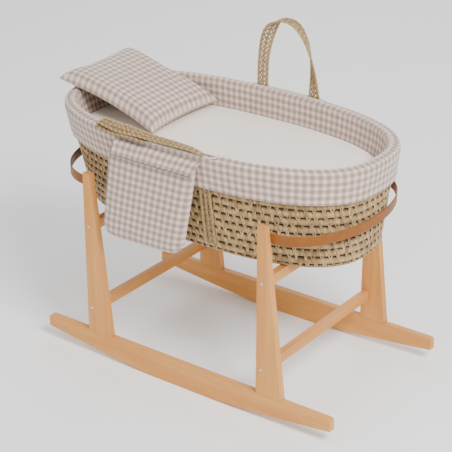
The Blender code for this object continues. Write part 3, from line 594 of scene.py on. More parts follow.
# ---- woven basket ----
ROWS_ON_WALL = 11.5
ROW_PITCH = WALL_HEIGHT / ROWS_ON_WALL
ROW_DEPTH = 8.0 * MM
WALL_THICK = 10 * MM
HEEL = 17 * MM
HEEL_INSET = 13 * MM
FACE_ROWS, FACE_MIDDLE = 11, 5  # how many rings make a coil's outer face, and the middle one
UNEVEN = 0.9 * MM  # how far a coil wanders from its even line
STITCH_PITCH = 21.5 * MM
STITCHES = int(round(RIM_AROUND / STITCH_PITCH))


def heel(z):
    """How far the rounded foot of the wall is drawn in at height z."""
    share = min(max(1 - (z - BASE_Z) / HEEL, 0), 1)
    return -HEEL_INSET * (1 - math.sqrt(1 - share ** 2))


def row_edges():
    """Heights between the coiled rows, from the rim down to the half row at the foot."""
    edges = [TOP_Z - ROW_PITCH * k for k in range(int(ROWS_ON_WALL) + 1)]
    return edges + [BASE_Z]


def make_wall():
    random.seed(4)
    steps = STITCHES * 7
    angles, around = even_angles(steps)
    along = np.linspace(0, around, steps + 1)
    maker = Maker()
    edges = row_edges()
    for k, (high, low) in enumerate(zip(edges, edges[1:])):
        shares = np.array((0, 0.035, 0.09, 0.18, 0.34, 0.5, 0.66, 0.82, 0.91, 0.965, 1))
        depth = ROW_DEPTH * np.abs(2 * shares - 1) ** 2.7 - 1.0 * MM * (shares * (1 - shares) * 4)
        heights = low + (high - low) * shares
        # Each section point's third value darkens the straw towards the groove between rows: painted shade in the
        # grooves.
        section = [(heel(z) - d, z, min(max(d / ROW_DEPTH, 0), 1) ** 1.1) for z, d in zip(heights, depth)]
        section += [(-WALL_THICK + 0.35 * ROW_DEPTH * abs(2 * s - 1) ** 4, low + (high - low) * s, 0.0)
                    for s in (0.95, 0.6, 0.3, 0.05)]
        rows = np.array([ring(z, offset, angles) for offset, z, _ in section])
        section = np.array(section)
        painted_shade_and_tint = section[:, 2:]
        swell = wobble(rows[FACE_MIDDLE], 30 * MM, k + 1)
        bulge = outward(rows) * swell[None, :, None] * UNEVEN * (1 - painted_shade_and_tint[:, None])
        rows[:FACE_ROWS] += bulge[:FACE_ROWS]
        rows[:FACE_ROWS, :, 2] += (wobble(rows[FACE_MIDDLE], 60 * MM, k + 20) * UNEVEN)[None, :]
        lengths = lengths_along(section[:, :2])
        uv = uv_grid(along, np.append(lengths, lengths[-1] + 12 * MM))
        # Darkens the wall's face where a band lies over it: painted shadow of the bands.
        covered = np.min([np.abs(rows[FACE_MIDDLE][:, 0] - arm) for arm in (ARM_HEAD_X, ARM_FOOT_X)], axis=0)
        shade = 0.85 * np.clip((STRIP_WIDTH / 2 - covered) / (4 * MM), 0, 1) * (high < BAND_HIGH.z) * (low > BAND_LOW.z)
        painted_shade_and_tint = np.maximum(painted_shade_and_tint, shade[None, :] * (np.arange(len(section)) < FACE_ROWS)[:, None])
        maker.grid(rows, uv, wrap_rows=True, wrap_columns=True, tone=random.random(), painted_shade_and_tint=painted_shade_and_tint)
    place(maker.finish("woven_wall", COILED_STRAW), "basket", "palm", "basket_wall")


def make_stitches():
    """Pairs of leaf strips that bind each row to the next across the groove, drawn into a V."""
    random.seed(9)
    maker = Maker()
    angles, around = even_angles(STITCHES * 20)
    for k, edge in enumerate(row_edges()[1:-1], 1):
        shift = (k * 7 + random.random() * 3) % 20
        for stitch in range(STITCHES):
            middle = (stitch + 0.25 * (random.random() - 0.5)) * 20 + shift
            tone = random.random()
            for lean in (-1, 1):
                spread = random.uniform(2.0, 6.5) * MM
                line = []
                for step in range(7):
                    t = step / 6
                    z = edge + (8.5 - 17 * t) * MM
                    z = max(z, BASE_Z + 0.8 * MM)
                    side = lean * (0.5 + spread / MM * (1 - t) ** 1.5) * MM
                    place_in = (middle + side / (around / len(angles))) % len(angles)
                    angle = angles[int(place_in)]
                    raise_by = 0.7 * MM * math.sin(math.pi * t) - 0.9 * MM
                    line.append(ring(z, heel(z) + raise_by, np.array([angle]))[0])
                across = np.cross(outward(np.array(line)), (0, 0, 1.0))
                tube(maker, line, across, (random.uniform(2.6, 4.2) * MM, 2.0 * MM), 6, tone=0.15 + 0.85 * tone)
    place(maker.finish("wall_stitches", PLAITED_STRAW), "basket", "palm")


def make_floor():
    """Oval coils from the wall in to the middle, on both faces of the floor."""
    low, high = corners("basket_floor")
    angles, around = even_angles(260)
    maker = Maker()
    z = (low.z + high.z) / 2
    half_width = wall_size(z)[2]
    coil = 21 * MM
    edge = 17.5 * MM
    inner_width = half_width - 18 * MM
    count = int(inner_width / coil)
    for k in range(count + 1):
        half = coil / 2 if k < count else inner_width - coil * count
        inset = -edge - coil * (k + 0.5) if k < count else -edge - coil * count - half * 0.5
        loops = []
        for step in range(12):
            turn = math.tau * step / 12
            cos, sin = math.cos(turn), math.sin(turn)
            offset = inset + half * 0.985 * math.copysign(abs(cos) ** 0.5, cos)
            height = z + 4.4 * MM * math.copysign(abs(sin) ** 0.7, sin)
            loops.append(ring(height, offset, angles))
        uv = uv_grid(np.linspace(0, around, 261), np.linspace(0, 3 * half, 13))
        # Darkens the sides of each coil where the coils meet: painted shade between the coils.
        painted_shade_and_tint = np.array([abs(math.cos(math.tau * step / 12)) ** 6 * 0.9 for step in range(12)])[:, None]
        maker.grid(loops, uv, wrap_rows=True, wrap_columns=True, tone=k / 11, painted_shade_and_tint=painted_shade_and_tint)
    place(maker.finish("coiled_floor", COILED_STRAW), "basket", "palm", "basket_floor")


# ---- plaited strips ----
RIB = 4.0 * MM  # thickness of a rib
TWIST = 15 * MM  # a rib's strands turn round each other in this length
LACE_STEP = 6.4 * MM  # length in which a lacing crosses from one rib to the next
LACE_SIZE = (2.4 * MM, 3.6 * MM)
LACE_HOLLOW = (0.0, 0.1, 0.55)  # how dark a lacing can be
ARCH_OVAL = 2.35  # exponent of the far handle's arch


def plait(name, line, across, seed, body, *nodes, narrow=0.0):
    """An openwork strip: edge and centre ribs of three twisted strands, laced together in zigzags."""
    random.seed(seed)
    fine, places = even_line(line, 1.9 * MM)
    across = unit(resample(places, lengths_along(np.asarray(line)), np.asarray(across, float)))
    tangent = unit(np.gradient(fine, axis=0))
    through = unit(np.cross(tangent, across))
    maker = Maker()
    reach = STRIP_WIDTH / 2 - RIB
    spread = RIB * 0.62
    pinch = 1 - narrow * np.clip(1 - places / (0.5 * places[-1]), 0, 1)
    across = across * pinch[:, None]
    for rib in (-1, 0, 1):
        middle = fine + across * (rib * reach)
        for strand in range(3):
            turn = places / TWIST * math.tau + (math.tau * strand / 3 + rib)
            path = (middle + across * (np.cos(turn) * spread)[:, None]
                    + through * (np.sin(turn) * spread * 0.62)[:, None])
            tube(maker, path, through, (RIB * 0.74, RIB * 0.92), 5, tone=random.uniform(0.1, 1.0))
    count = int(places[-1] / LACE_STEP)
    span = np.linspace(0, 1, 6)
    for bay in (-1, 1):
        for number in range(count):
            begin, end = number * LACE_STEP, (number + 1) * LACE_STEP
            inner, outer = (0.94, 0.12) if number % 2 else (0.12, 0.94)
            spots = np.clip(begin + (end - begin) * (1.9 * span - 0.45), 0, places[-1])
            shares = bay * (inner + (outer - inner) * span) * reach
            base, side, lift = [resample(spots, places, values) for values in (fine, across, through)]
            path = base + side * shares[:, None] + lift * (np.sin(span * math.pi) * 0.5 * MM)[:, None]
            # Some lacings are darker at random; that is a tone of the straw, not shade.
            tube(maker, path, lift, LACE_SIZE, 5, tone=random.uniform(0.0, 1.0), painted_shade_and_tint=random.choice(LACE_HOLLOW))
    place(maker.finish(name, PLAITED_STRAW), body, "palm", *nodes)


HANDLE_LEAN = 8 * MM  # the arch's top, set over towards the head end


def make_far_handle():
    """Upright arch; the strip faces along the rim at its feet and turns over towards the top."""
    rise = FAR_HIGH.z - FAR_LOW.z - STRIP_THICK / 2
    half = (ARM_FOOT_X - ARM_HEAD_X) / 2
    line, across = [], []
    for step in range(121):
        angle = math.pi - math.pi * step / 120
        cos, sin = math.cos(angle), math.sin(angle)
        x = math.copysign(abs(cos) ** (2 / ARCH_OVAL), cos) * half
        height = abs(sin) ** (2 / ARCH_OVAL)
        y = RIM_MIDDLE.y + wall_y(HANDLE_X + x, TOP_Z, STRIP_MIDDLE)
        line.append((HANDLE_X + x - HANDLE_LEAN * height ** 1.5, y, FAR_LOW.z + height * rise))
        if x > 0:
            turn = math.pi / 2 * (1 - height ** 0.85)
        else:
            turn = math.pi / 2 * min(max((-x / half - 0.35) / 0.6, 0.0), 1.0)
        tangent = Vector((half * -sin, 0, rise * cos)).normalized() * -1
        side = Vector((0, 1, 0)).cross(tangent)
        across.append(Vector((0, 1, 0)) * math.cos(turn) + side * math.sin(turn))
    plait("plaited_handle_far", line, across, 21, "handle_far", "handle_far")


def make_near_handle():
    """The same strip folded flat: it lies on the rim towards the head, doubled on itself."""
    low = corners("handle_near")[0]
    tilt = math.radians(14)
    up = Vector((0, -math.sin(tilt), math.cos(tilt)))
    side = Vector((0, math.cos(tilt), math.sin(tilt)))
    radius = 3.5 * MM
    apex = low.x + radius + STRIP_THICK / 2
    base_z = TOP_Z + 23 * MM
    track = [(x, 2 * radius, 0) for x in np.linspace(ARM_FOOT_X + 6 * MM, apex, 40)]
    track += [(apex - radius * math.sin(math.pi * i / 8), radius * (1 + math.cos(math.pi * i / 8)), 1 - i / 8)
              for i in range(1, 8)]
    track += [(x, 0, -1) for x in np.linspace(apex, ARM_HEAD_X + 6 * MM, 30)]
    line, across = [], []
    for x, lift, layer in track:
        y = RIM_MIDDLE.y - wall_y(x, TOP_Z, 4 * MM)
        away = (ARM_FOOT_X - x) / (ARM_FOOT_X - apex)
        spread = 2.5 * MM * away * (1 if layer >= 0 else -1)
        roll = 0.16 * math.sin(x * 38 + (0 if layer >= 0 else 2)) * away
        drop = 9 * MM * max(1 - (ARM_FOOT_X + 6 * MM - x) / (46 * MM), 0) ** 2 if layer >= 0 else 0
        spot = Vector((x, y, base_z)) + up * (lift + 1.0 * MM * math.sin(x * 52) * away) + side * spread
        line.append(spot - Vector((0, 0, drop)))
        across.append(side * math.cos(roll) + up * math.sin(roll))
    plait("plaited_handle_near", line, across, 22, "handle_near", "handle_near", narrow=0.7)


def make_bands():
    """The handles' strips, carried on down the outside of the wall."""
    for side_name, side in (("near", -1), ("far", 1)):
        for end_name, x in (("head", ARM_HEAD_X), ("foot", ARM_FOOT_X)):
            node = f"handle_band_{side_name}_{end_name}"
            low, high = corners(node)
            line = [(x, RIM_MIDDLE.y + side * wall_y(x, z, STRIP_MIDDLE), z)
                    for z in np.linspace(low.z + 2 * MM, high.z, 30)]
            plait("plaited_band_" + side_name + "_" + end_name, line, [(1, 0, 0)] * len(line),
                  hash_of(node), "basket", node)


def hash_of(text):
    return sum(ord(letter) * (place_in + 1) for place_in, letter in enumerate(text))


# ---- liner ----
LINER_STEPS = 432
CREST = 20 * MM


def profile_rings(profile, angles, puff, seed, gather=0.0):
    """Rings of a profile, puffed out by smooth noise that fades where weight is 0."""
    rows = []
    for offset, z, weight in profile:
        points = ring(z, offset, angles)
        swell = wobble(points, 55 * MM, seed) * puff + wobble(points, 18 * MM, seed + 3) * puff * 0.3
        pleat = gather * np.sin(np.arange(len(angles)) * math.tau / len(angles) * 74
                                + 4 * wobble(points, 90 * MM, seed + 5))
        rows.append(ring(z, offset + (swell + pleat) * weight, angles))
    return np.array(rows)


def cloth_uv(rows, around):
    """UVs of rings that make a closed profile: U round the basket, V along the profile."""
    lengths = lengths_along(rows[:, 0])
    lengths = np.append(lengths, lengths[-1] + np.linalg.norm(rows[0, 0] - rows[-1, 0]))
    return uv_grid(np.linspace(0, around, rows.shape[1] + 1), lengths)


def make_bumper():
    """Padded wall of the liner: up the inside, over the coil in a soft roll, down to the seam."""
    low, high = corners("liner_bumper")
    angles, around = even_angles(LINER_STEPS)
    face, back = -10.9 * MM, -22.6 * MM
    crest = high.z
    key = [(face, low.z, 0), (face, low.z + 60 * MM, 0), (face, TOP_Z - 30 * MM, 0), (face - 0.5 * MM, TOP_Z, 0),
           (-12.4 * MM, TOP_Z + 9 * MM, 0), (-7 * MM, TOP_Z + 12.9 * MM, 0), (-1.4 * MM, TOP_Z + 13.2 * MM, 0),
           (0.3 * MM, TOP_Z + 16.0 * MM, 0.2), (-3.5 * MM, crest - 1.4 * MM, 0.5), (-9.5 * MM, crest, 0.8),
           (-16 * MM, crest - 1.6 * MM, 1), (-21 * MM, crest - 6.5 * MM, 1), (back, TOP_Z, 1),
           (back + 0.6 * MM, TOP_Z - 30 * MM, 1), (back, TOP_Z - 80 * MM, 1), (back, low.z + 30 * MM, 1),
           (back + 3 * MM, low.z + 3 * MM, 0.3), (-17 * MM, low.z, 0)]
    profile = smooth_line(key, 4)
    rows = profile_rings(profile, angles, 1.3 * MM, 2, 0.35 * MM)
    maker = Maker()
    maker.grid(rows, cloth_uv(rows, around), wrap_rows=True, wrap_columns=True)
    item = place(maker.finish("padded_liner", GINGHAM), "basket", "gingham", "liner_bumper")


def make_skirt():
    """Single cloth that hangs from the rim's seam, hemmed, with a slot for each handle."""
    low, high = corners("liner_skirt")
    slot_low, slot_high = corners("slot_binding_near")
    angles, around = even_angles(LINER_STEPS)
    outer, inner = 8.8 * MM, 6.4 * MM
    hem, lip = low.z, high.z
    x = RIM_MIDDLE.x + bent(np.cos(angles)) * RIM_HALF[0]
    inside = np.minimum(x - slot_low.x, slot_high.x - x)
    slot = np.clip(inside / (6 * MM) + 0.5, 0, 1)
    tuck = 0.4 * MM + slot * 6.4 * MM
    heights = np.linspace(hem + 1.5 * MM, TOP_Z + 6 * MM, 14)
    rows = []
    for number, z in enumerate(heights):
        share = 1 - number / len(heights)
        points = ring(z, outer, angles)
        swell = wobble(points, 70 * MM, 8) * 1.6 * MM * share + wobble(points, 24 * MM, 9) * 0.5 * MM * share
        pleat = np.sin(np.arange(len(angles)) * math.tau / len(angles) * 62 + 3 * wobble(points, 110 * MM, 5))
        rows.append(ring(z, outer + swell + pleat * 0.4 * MM * share, angles))
    for z, offset in ((TOP_Z + 12 * MM, outer - 0.6 * MM), (lip - 1.6 * MM, np.maximum(outer - 1.9 * MM, tuck)),
                      (lip - 0.4 * MM, np.maximum(outer - 3.4 * MM, tuck)),
                      (lip - 0.1 * MM, np.maximum(3.0 * MM, tuck)), (lip - 0.9 * MM, tuck), (lip - 2.6 * MM, tuck),
                      (lip - 3.0 * MM, np.maximum(3.0 * MM, tuck)), (TOP_Z + 12 * MM, outer - 2.6 * MM)):
        rows.append(ring(z, offset, angles))
    rows += [row - outward(row) * (outer - inner) for row in rows[len(heights) - 1::-1]]
    rows.append((rows[0] + rows[-1]) / 2 - np.array((0, 0, 1.5 * MM)))
    rows = np.array(rows)
    maker = Maker()
    maker.grid(rows, cloth_uv(rows, around), wrap_rows=True, wrap_columns=True)
    item = place(maker.finish("skirt", GINGHAM), "basket", "gingham", "liner_skirt")
    seam = make_hem(rows[0], around)


def make_hem(edge, around):
    """A rolled thread line just above the skirt's lower edge."""
    out = outward(edge)
    line = edge + out * 0.1 * MM + np.array((0, 0, 6 * MM))
    loops = []
    for step in range(6):
        turn = math.tau * step / 6
        loops.append(line + out * (math.cos(turn) * 0.5 * MM) + np.array((0, 0, math.sin(turn) * 0.5 * MM)))
    maker = Maker()
    uv = uv_grid(np.linspace(0, around, len(edge) + 1), np.linspace(0, 3 * MM, 7))
    maker.grid(loops, uv, wrap_rows=True, wrap_columns=True)
    return place(maker.finish("skirt_hem_seam", TAPE), "basket", "tape")


def make_slot_bindings():
    """Piping round each slot that a handle comes out of."""
    for side_name, side in (("near", -1), ("far", 1)):
        node = "slot_binding_" + side_name
        low, high = corners(node)
        z = high.z - 0.9 * MM
        left, right = low.x + 4 * MM, high.x - 4 * MM
        turns = np.linspace(0, math.pi, 12)[1:-1]

        def turn_end(x, reach, order):
            return [(x + reach * math.sin(angle), -0.3 * MM - 7.3 * MM * math.cos(angle), z - 1.1 * MM)
                    for angle in order]

        spots = [(x, -7.6 * MM, z) for x in np.linspace(left, right, 40)]
        spots += turn_end(right, 5 * MM, turns)
        spots += [(x, 7.0 * MM, z - 2.6 * MM) for x in np.linspace(right, left, 40)]
        spots += turn_end(left, -5 * MM, turns[::-1])
        line = np.array([(x, RIM_MIDDLE.y + side * wall_y(x, TOP_Z, offset), z_in) for x, offset, z_in in spots])
        following, before = np.roll(line, -1, 0), np.roll(line, 1, 0)
        tangent = unit(following - before)
        up = np.array((0, 0, 1.0))
        across = unit(np.cross(tangent, up))
        loops = []
        for step in range(8):
            turn = math.tau * step / 8
            loops.append(line + across * math.cos(turn) * 2.8 * MM + up * math.sin(turn) * 0.9 * MM)
        maker = Maker()
        along = np.concatenate(([0], np.cumsum(np.linalg.norm(following - line, axis=1))))
        uv = uv_grid(along, np.linspace(0, 8 * MM, 9))
        maker.grid(loops, uv, wrap_rows=True, wrap_columns=True)
        place(maker.finish("slot_piping_" + side_name, TAPE), "basket", "tape", node)


# ---- bedding ----
def oval_pad(name, section, crown_top, crown_low, material, seed):
    """A filled oval pad from a side profile, with its two faces crowned towards the middle."""
    angles = even_angles(240)[0]
    rows = []
    inward = (0.965, 0.92, 0.86, 0.78, 0.66, 0.5, 0.34, 0.18, 0.06)

    def face(edge, crown, shares):
        middle = edge.mean(axis=0)
        for share in shares:
            row = middle + (edge - middle) * np.array((share, share, 1))
            lift = crown * (1 - share ** 3)
            row[:, 2] += lift + wobble(row, 70 * MM, seed) * 0.7 * MM
            rows.append(row)

    low_edge = ring(section[0][1], section[0][0], angles)
    high_edge = ring(section[-1][1], section[-1][0], angles)
    face(low_edge, -crown_low, inward[::-1])
    for offset, z in section:
        points = ring(z, offset, angles)
        rows.append(ring(z, offset + wobble(points, 60 * MM, seed + 1) * 0.6 * MM, angles))
    face(high_edge, crown_top, inward)
    return ringed_piece(name, rows, material)


def ringed_piece(name, rows, material):
    """A closed piece from its rings, with UVs as seen from above, height added along Y."""
    rows = np.array(rows)
    maker = Maker()
    maker.grid(rows, closed_uv(rows[..., 0], rows[..., 1] + rows[..., 2]), wrap_columns=True, caps=True)
    return maker.finish(name, material)


def pad_side(side, low_z, high_z):
    """Side profile of a pad with soft edges."""
    soft = 8 * MM
    return [(side - soft, low_z + 1.5 * MM), (side - 3 * MM, low_z + 2.5 * MM), (side - 0.6 * MM, low_z + soft),
            (side, low_z + 30 * MM), (side, high_z - 30 * MM), (side - 0.6 * MM, high_z - soft),
            (side - 3 * MM, high_z - 2.5 * MM), (side - soft, high_z - 1.5 * MM)]


def make_bedding():
    low, high = corners("base_cushion")
    inset = -24.3 * MM
    cushion = oval_pad("foam_base", pad_side(inset, low.z, high.z), 1.2 * MM, 1.2 * MM, TICKING, 31)
    place(cushion, "cushion", "foam", "base_cushion")

    low, high = corners("mattress")
    core = inset - 3 * MM
    mattress = oval_pad("mattress_pad", pad_side(core, low.z, high.z), 0.6 * MM, 1.2 * MM, TICKING, 33)
    place(mattress, "bedding", "foam", "mattress")
    make_sheet(core)


def make_sheet(core):
    """Fitted sheet: smooth over the top, rounded down the side, drawn in at its lower edge."""
    low, high = corners("fitted_sheet")
    angles = even_angles(360)[0]
    top = high.z
    thick = 1.6 * MM
    side = core + 3.0 * MM
    rows = []
    for share in (0.02, 0.15, 0.3, 0.45, 0.6, 0.72, 0.82, 0.89, 0.94, 0.97, 0.99):
        edge = ring(top - 0.4 * MM, side - 9 * MM, angles)
        middle = edge.mean(axis=0)
        row = middle + (edge - middle) * np.array((share, share, 1))
        pull = np.clip((share - 0.6) / 0.4, 0, 1)
        row[:, 2] += -0.5 * MM + 0.5 * MM * (1 - share ** 2)
        row[:, 2] += wobble(row, 60 * MM, 41) * 0.5 * MM + wobble(row, 22 * MM, 42) * 0.35 * MM * pull
        rows.append(row)
    for offset, z, crease in ((side - 6.5 * MM, top - 1.0 * MM, 0.3), (side - 4.0 * MM, top - 2.4 * MM, 0.5),
                              (side - 1.8 * MM, top - 5.2 * MM, 0.8), (side - 0.6 * MM, top - 9 * MM, 1),
                              (side, top - 20 * MM, 1), (side, top - 40 * MM, 1), (side - 0.6 * MM, low.z + 9 * MM, 1),
                              (side - 0.4 * MM, low.z + 2 * MM, 1)):
        points = ring(z, offset, angles)
        folds = np.sin(np.arange(len(angles)) * math.tau / len(angles) * 90 + 5 * wobble(points, 80 * MM, 43))
        rows.append(ring(z, offset + crease * 0.35 * MM * folds, angles))
    outer = np.array(rows)
    inner = outer.copy()[::-1]
    for number, offset in enumerate((0.4, 0.6, 0.0, 0.0, 0.6, 1.8, 4.0, 6.5)):
        inner[number] = ring(inner[number][0, 2], side - offset * MM - thick, angles)
    inner[8:, :, 2] -= thick
    inner[4:8, :, 2] -= np.array((0.2, 0.5, 1.0, 1.4))[:, None] * MM
    item = place(ringed_piece("smooth_sheet", np.concatenate((outer, inner)), SHEET_CLOTH),
                 "bedding", "sheet", "fitted_sheet")


# ---- pillow ----
PILLOW_CELLS = (46, 42)  # faces along the pillow and across it
PILLOW_CLOTH = (0.306, 0.266)  # size of its cloth, laid flat
PILLOW_THICK = 34 * MM


def pillow_corners():
    """The four corners of the pillow's middle sheet: foot near, foot far, head near, head far."""
    low, high = corners("pillow")
    edge = 8 * MM
    rest_z = low.z + edge / 2
    crest_z = TOP_Z + CREST + 2 * MM + edge / 2
    inset = 11 * MM
    return [Vector((high.x, low.y + 2 * MM, rest_z)), Vector((high.x, high.y + 6 * MM, rest_z + 3 * MM)),
            Vector((low.x, low.y + 2 * MM, crest_z + 14 * MM)),
            Vector((low.x + 2 * inset, high.y - inset - 2 * MM, crest_z + 30 * MM))]


def make_pillow():
    """A boxy cushion with a seam round its edge, filled by blowing it up as cloth."""
    columns, rows_count = PILLOW_CELLS
    foot_near, foot_far, head_near, head_far = pillow_corners()
    top, bottom, sheet_uv = [], [], []
    for i in range(columns + 1):
        top_row, bottom_row, uv_row = [], [], []
        for j in range(rows_count + 1):
            s, t = i / columns, j / rows_count
            u, v = 2 * s - 1, 2 * t - 1
            s2 = s + 0.03 * u * (v * v - 1) * abs(u) ** 2
            t2 = t + 0.03 * v * (u * u - 1) * abs(v) ** 2
            middle = foot_near.lerp(foot_far, t2).lerp(head_near.lerp(head_far, t2), s2)
            middle = middle + Vector((0, 0, 10 * MM * math.sin(math.pi * s2)))
            swell = PILLOW_THICK * ((1 - u ** 8) * (1 - v ** 8)) ** 0.55
            top_row.append(middle + Vector((0, 0, 1.2 * MM + swell * 0.70)))
            bottom_row.append(middle - Vector((0, 0, 1.2 * MM + swell * 0.30)))
            uv_row.append((s * PILLOW_CLOTH[0] + 4 * MM, t * PILLOW_CLOTH[1] + 2 * MM))
        top.append(top_row)
        bottom.append(bottom_row[::-1])
        sheet_uv.append(uv_row)
    uv_array = np.array(sheet_uv)
    around = np.concatenate((np.array(top), np.array(bottom)), axis=1)
    wide = np.concatenate((uv_array, uv_array[:, ::-1] + np.array((0, 0.3)), uv_array[:, :1]), axis=1)
    maker = Maker()
    maker.grid(around, wide, wrap_columns=True)
    item = maker.finish("gingham_pillow", GINGHAM)
    close_ends(item, columns + 1, 2 * (rows_count + 1))
    inflate(item, pressure=3.0, frames=18, cap=6 * MM, floor=corners("pillow")[0].z)
    smooth = item.modifiers.new("smooth", "SUBSURF")
    smooth.levels = smooth.render_levels = 1
    place(item, "pillow", "gingham", "pillow")


def close_ends(item, rows, columns):
    """Zip the open ends of a flattened sleeve, top layer to bottom layer, with matching faces."""
    mesh = item.data
    points = [tuple(vertex.co) for vertex in mesh.vertices]
    uv_layer = mesh.uv_layers[0].data
    uvs = [tuple(entry.uv) for entry in uv_layer]
    faces = [tuple(polygon.vertices) for polygon in mesh.polygons]
    half = columns // 2
    for row, flip in ((0, False), (rows - 1, True)):
        base = row * columns
        for j in range(half - 1):
            k = columns - 1 - j
            face = (base + j, base + k, base + k - 1, base + j + 1)
            if flip:
                face = face[::-1]
            faces.append(face)
            x = points[face[0]][0]
            uvs += [(points[index][1], x + points[index][2]) for index in face]
    fresh = bpy.data.meshes.new(mesh.name + "_closed")
    fresh.from_pydata(points, [], faces)
    layer = fresh.uv_layers.new(name="UVMap")
    layer.data.foreach_set("uv", np.array(uvs, np.float32).ravel())
    fresh.polygons.foreach_set("use_smooth", np.full(len(fresh.polygons), True))
    fresh.materials.append(mesh.materials[0])
    fresh.update()
    item.data = fresh


def inflate(item, pressure, frames, cap, floor):
    """Blow the closed mesh up as cloth, then keep each point within cap of where it was."""
    scene = bpy.context.scene
    rest = np.array([vertex.co for vertex in item.data.vertices])
    cloth = item.modifiers.new("cloth", "CLOTH")
    settings = cloth.settings
    settings.quality = 6
    settings.mass = 0.3
    settings.tension_stiffness = 12
    settings.compression_stiffness = 4
    settings.bending_stiffness = 0.15
    settings.use_pressure = True
    settings.uniform_pressure_force = pressure
    settings.effector_weights.gravity = 0
    cloth.point_cache.frame_start, cloth.point_cache.frame_end = 1, frames
    for number in range(1, frames + 1):
        scene.frame_set(number)
    graph = bpy.context.evaluated_depsgraph_get()
    shaped = item.evaluated_get(graph).to_mesh()
    moved = np.array([vertex.co for vertex in shaped.vertices])
    item.evaluated_get(graph).to_mesh_clear()
    item.modifiers.remove(cloth)
    scene.frame_set(1)
    shift = moved - rest
    length = np.maximum(np.linalg.norm(shift, axis=1, keepdims=True), 1e-9)
    moved = rest + shift * np.minimum(1, cap / length)
    moved[:, 2] = np.maximum(moved[:, 2], floor - 0.5 * MM)
    item.data.vertices.foreach_set("co", moved.astype(np.float32).ravel())
    item.data.update()


# ---- pouch ----
POUCH_LEFT = RIM_MIDDLE.x - 165 * MM
POUCH_WIDTH = 246 * MM
POUCH_CORNER = 42 * MM
POUCH_SWAY, POUCH_TILT = -27 * MM, 7 * MM  # of its bottom, sideways and up at the right
POUCH_SPREAD, POUCH_TAPER = 9 * MM, 14 * MM  # wider at its mouth, narrower at its bottom


def hang(points, low_z, high_z):
    """Points of a straight bag, moved to where they go as it hangs a little askew."""
    across = (points[..., 0] - POUCH_LEFT) / POUCH_WIDTH
    down = (high_z - points[..., 2]) / (high_z - low_z)
    moved = points.copy()
    moved[..., 0] += POUCH_SWAY * down + (POUCH_SPREAD - POUCH_TAPER * down) * across
    moved[..., 2] += POUCH_TILT * across * np.maximum(down, 0) ** 2
    return moved


def make_pouch():
    """Cloth bag with an open mouth, flat against the skirt and bulging in front."""
    low, high = corners("pouch_bag")
    corner = POUCH_CORNER
    cloth = 1.8 * MM
    right_x = POUCH_LEFT + POUCH_WIDTH
    tall = high.z - low.z
    columns, levels = 40, 34

    def loop(z, inset):
        """Points round the bag at height z: along the front, then back behind."""
        rise = max(z - (low.z + inset), 0)
        near = max(corner - inset - rise, 0)
        pinch = corner - inset - math.sqrt(max((corner - inset) ** 2 - near ** 2, 0))
        left, right = POUCH_LEFT + inset + pinch, right_x - inset - pinch
        share = (high.z - z) / tall
        depth = 12 * MM + 9 * MM * math.sin(math.pi / 2 * min(share, 1)) - 2 * inset
        closing = min(max(rise / (26 * MM), 0), 1)
        depth = max(depth * math.sqrt(1 - (1 - closing) ** 2), 1.2 * MM)
        front, behind = [], []
        for s in np.linspace(0, 1, columns + 1):
            u = 2 * s - 1
            edge = (1 - abs(u) ** 7) ** 0.5
            x = left + (right - left) * s
            y_back = high.y - inset - 0.2 * MM
            ripple = 0.7 * MM * noise.noise(Vector((x, z * 1.4, 0.3)) / (48 * MM)) * edge * closing
            ripple += 0.35 * MM * noise.noise(Vector((x * 2.2, z * 0.6, 0.9)) / (30 * MM)) * edge * closing
            front.append((x, y_back - 0.8 * MM - (depth - 0.8 * MM) * max(edge, 0.04) - ripple, z))
            behind.append((x, y_back, z))
        return front + behind[::-1]

    outer = [loop(z, 0) for z in np.linspace(low.z + 0.4 * MM, high.z, levels)]
    inner = [loop(z, cloth) for z in np.linspace(high.z, low.z + 0.4 * MM + cloth, levels)]
    flat = np.array(outer + inner)
    maker = Maker()
    maker.grid(hang(flat, low.z, high.z), closed_uv(flat[..., 0], flat[..., 2]), wrap_columns=True, caps=True)
    item = place(maker.finish("gingham_pouch", GINGHAM), "pouch", "gingham", "pouch_bag")
    make_pouch_seam(low, high)


def make_pouch_seam(low, high):
    """Thin seam down the sides and round the lower corners of the pouch."""
    y = high.y - 1.2 * MM
    inset = 0.4 * MM
    corner = POUCH_CORNER
    radius = corner - inset
    low_x, high_x = POUCH_LEFT, POUCH_LEFT + POUCH_WIDTH

    def round_corner(x, start):
        return [(x + radius * math.cos(angle), y, low.z + corner + radius * math.sin(angle))
                for angle in np.linspace(start, start + math.pi / 2, 16)[1:]]

    line = [(low_x + inset, y, z) for z in np.linspace(high.z - 1 * MM, low.z + corner, 24)]
    line += round_corner(low_x + corner, math.pi)
    line += [(x, y, low.z + inset) for x in np.linspace(low_x + corner, high_x - corner, 20)[1:]]
    line += round_corner(high_x - corner, 1.5 * math.pi)
    line += [(high_x - inset, y, z) for z in np.linspace(low.z + corner, high.z - 1 * MM, 24)[1:]]
    maker = Maker()
    tube(maker, hang(np.array(line), low.z, high.z), (0, 1, 0), (1.8 * MM, 1.8 * MM), 6)
    place(maker.finish("pouch_seam", GINGHAM), "pouch", "gingham")


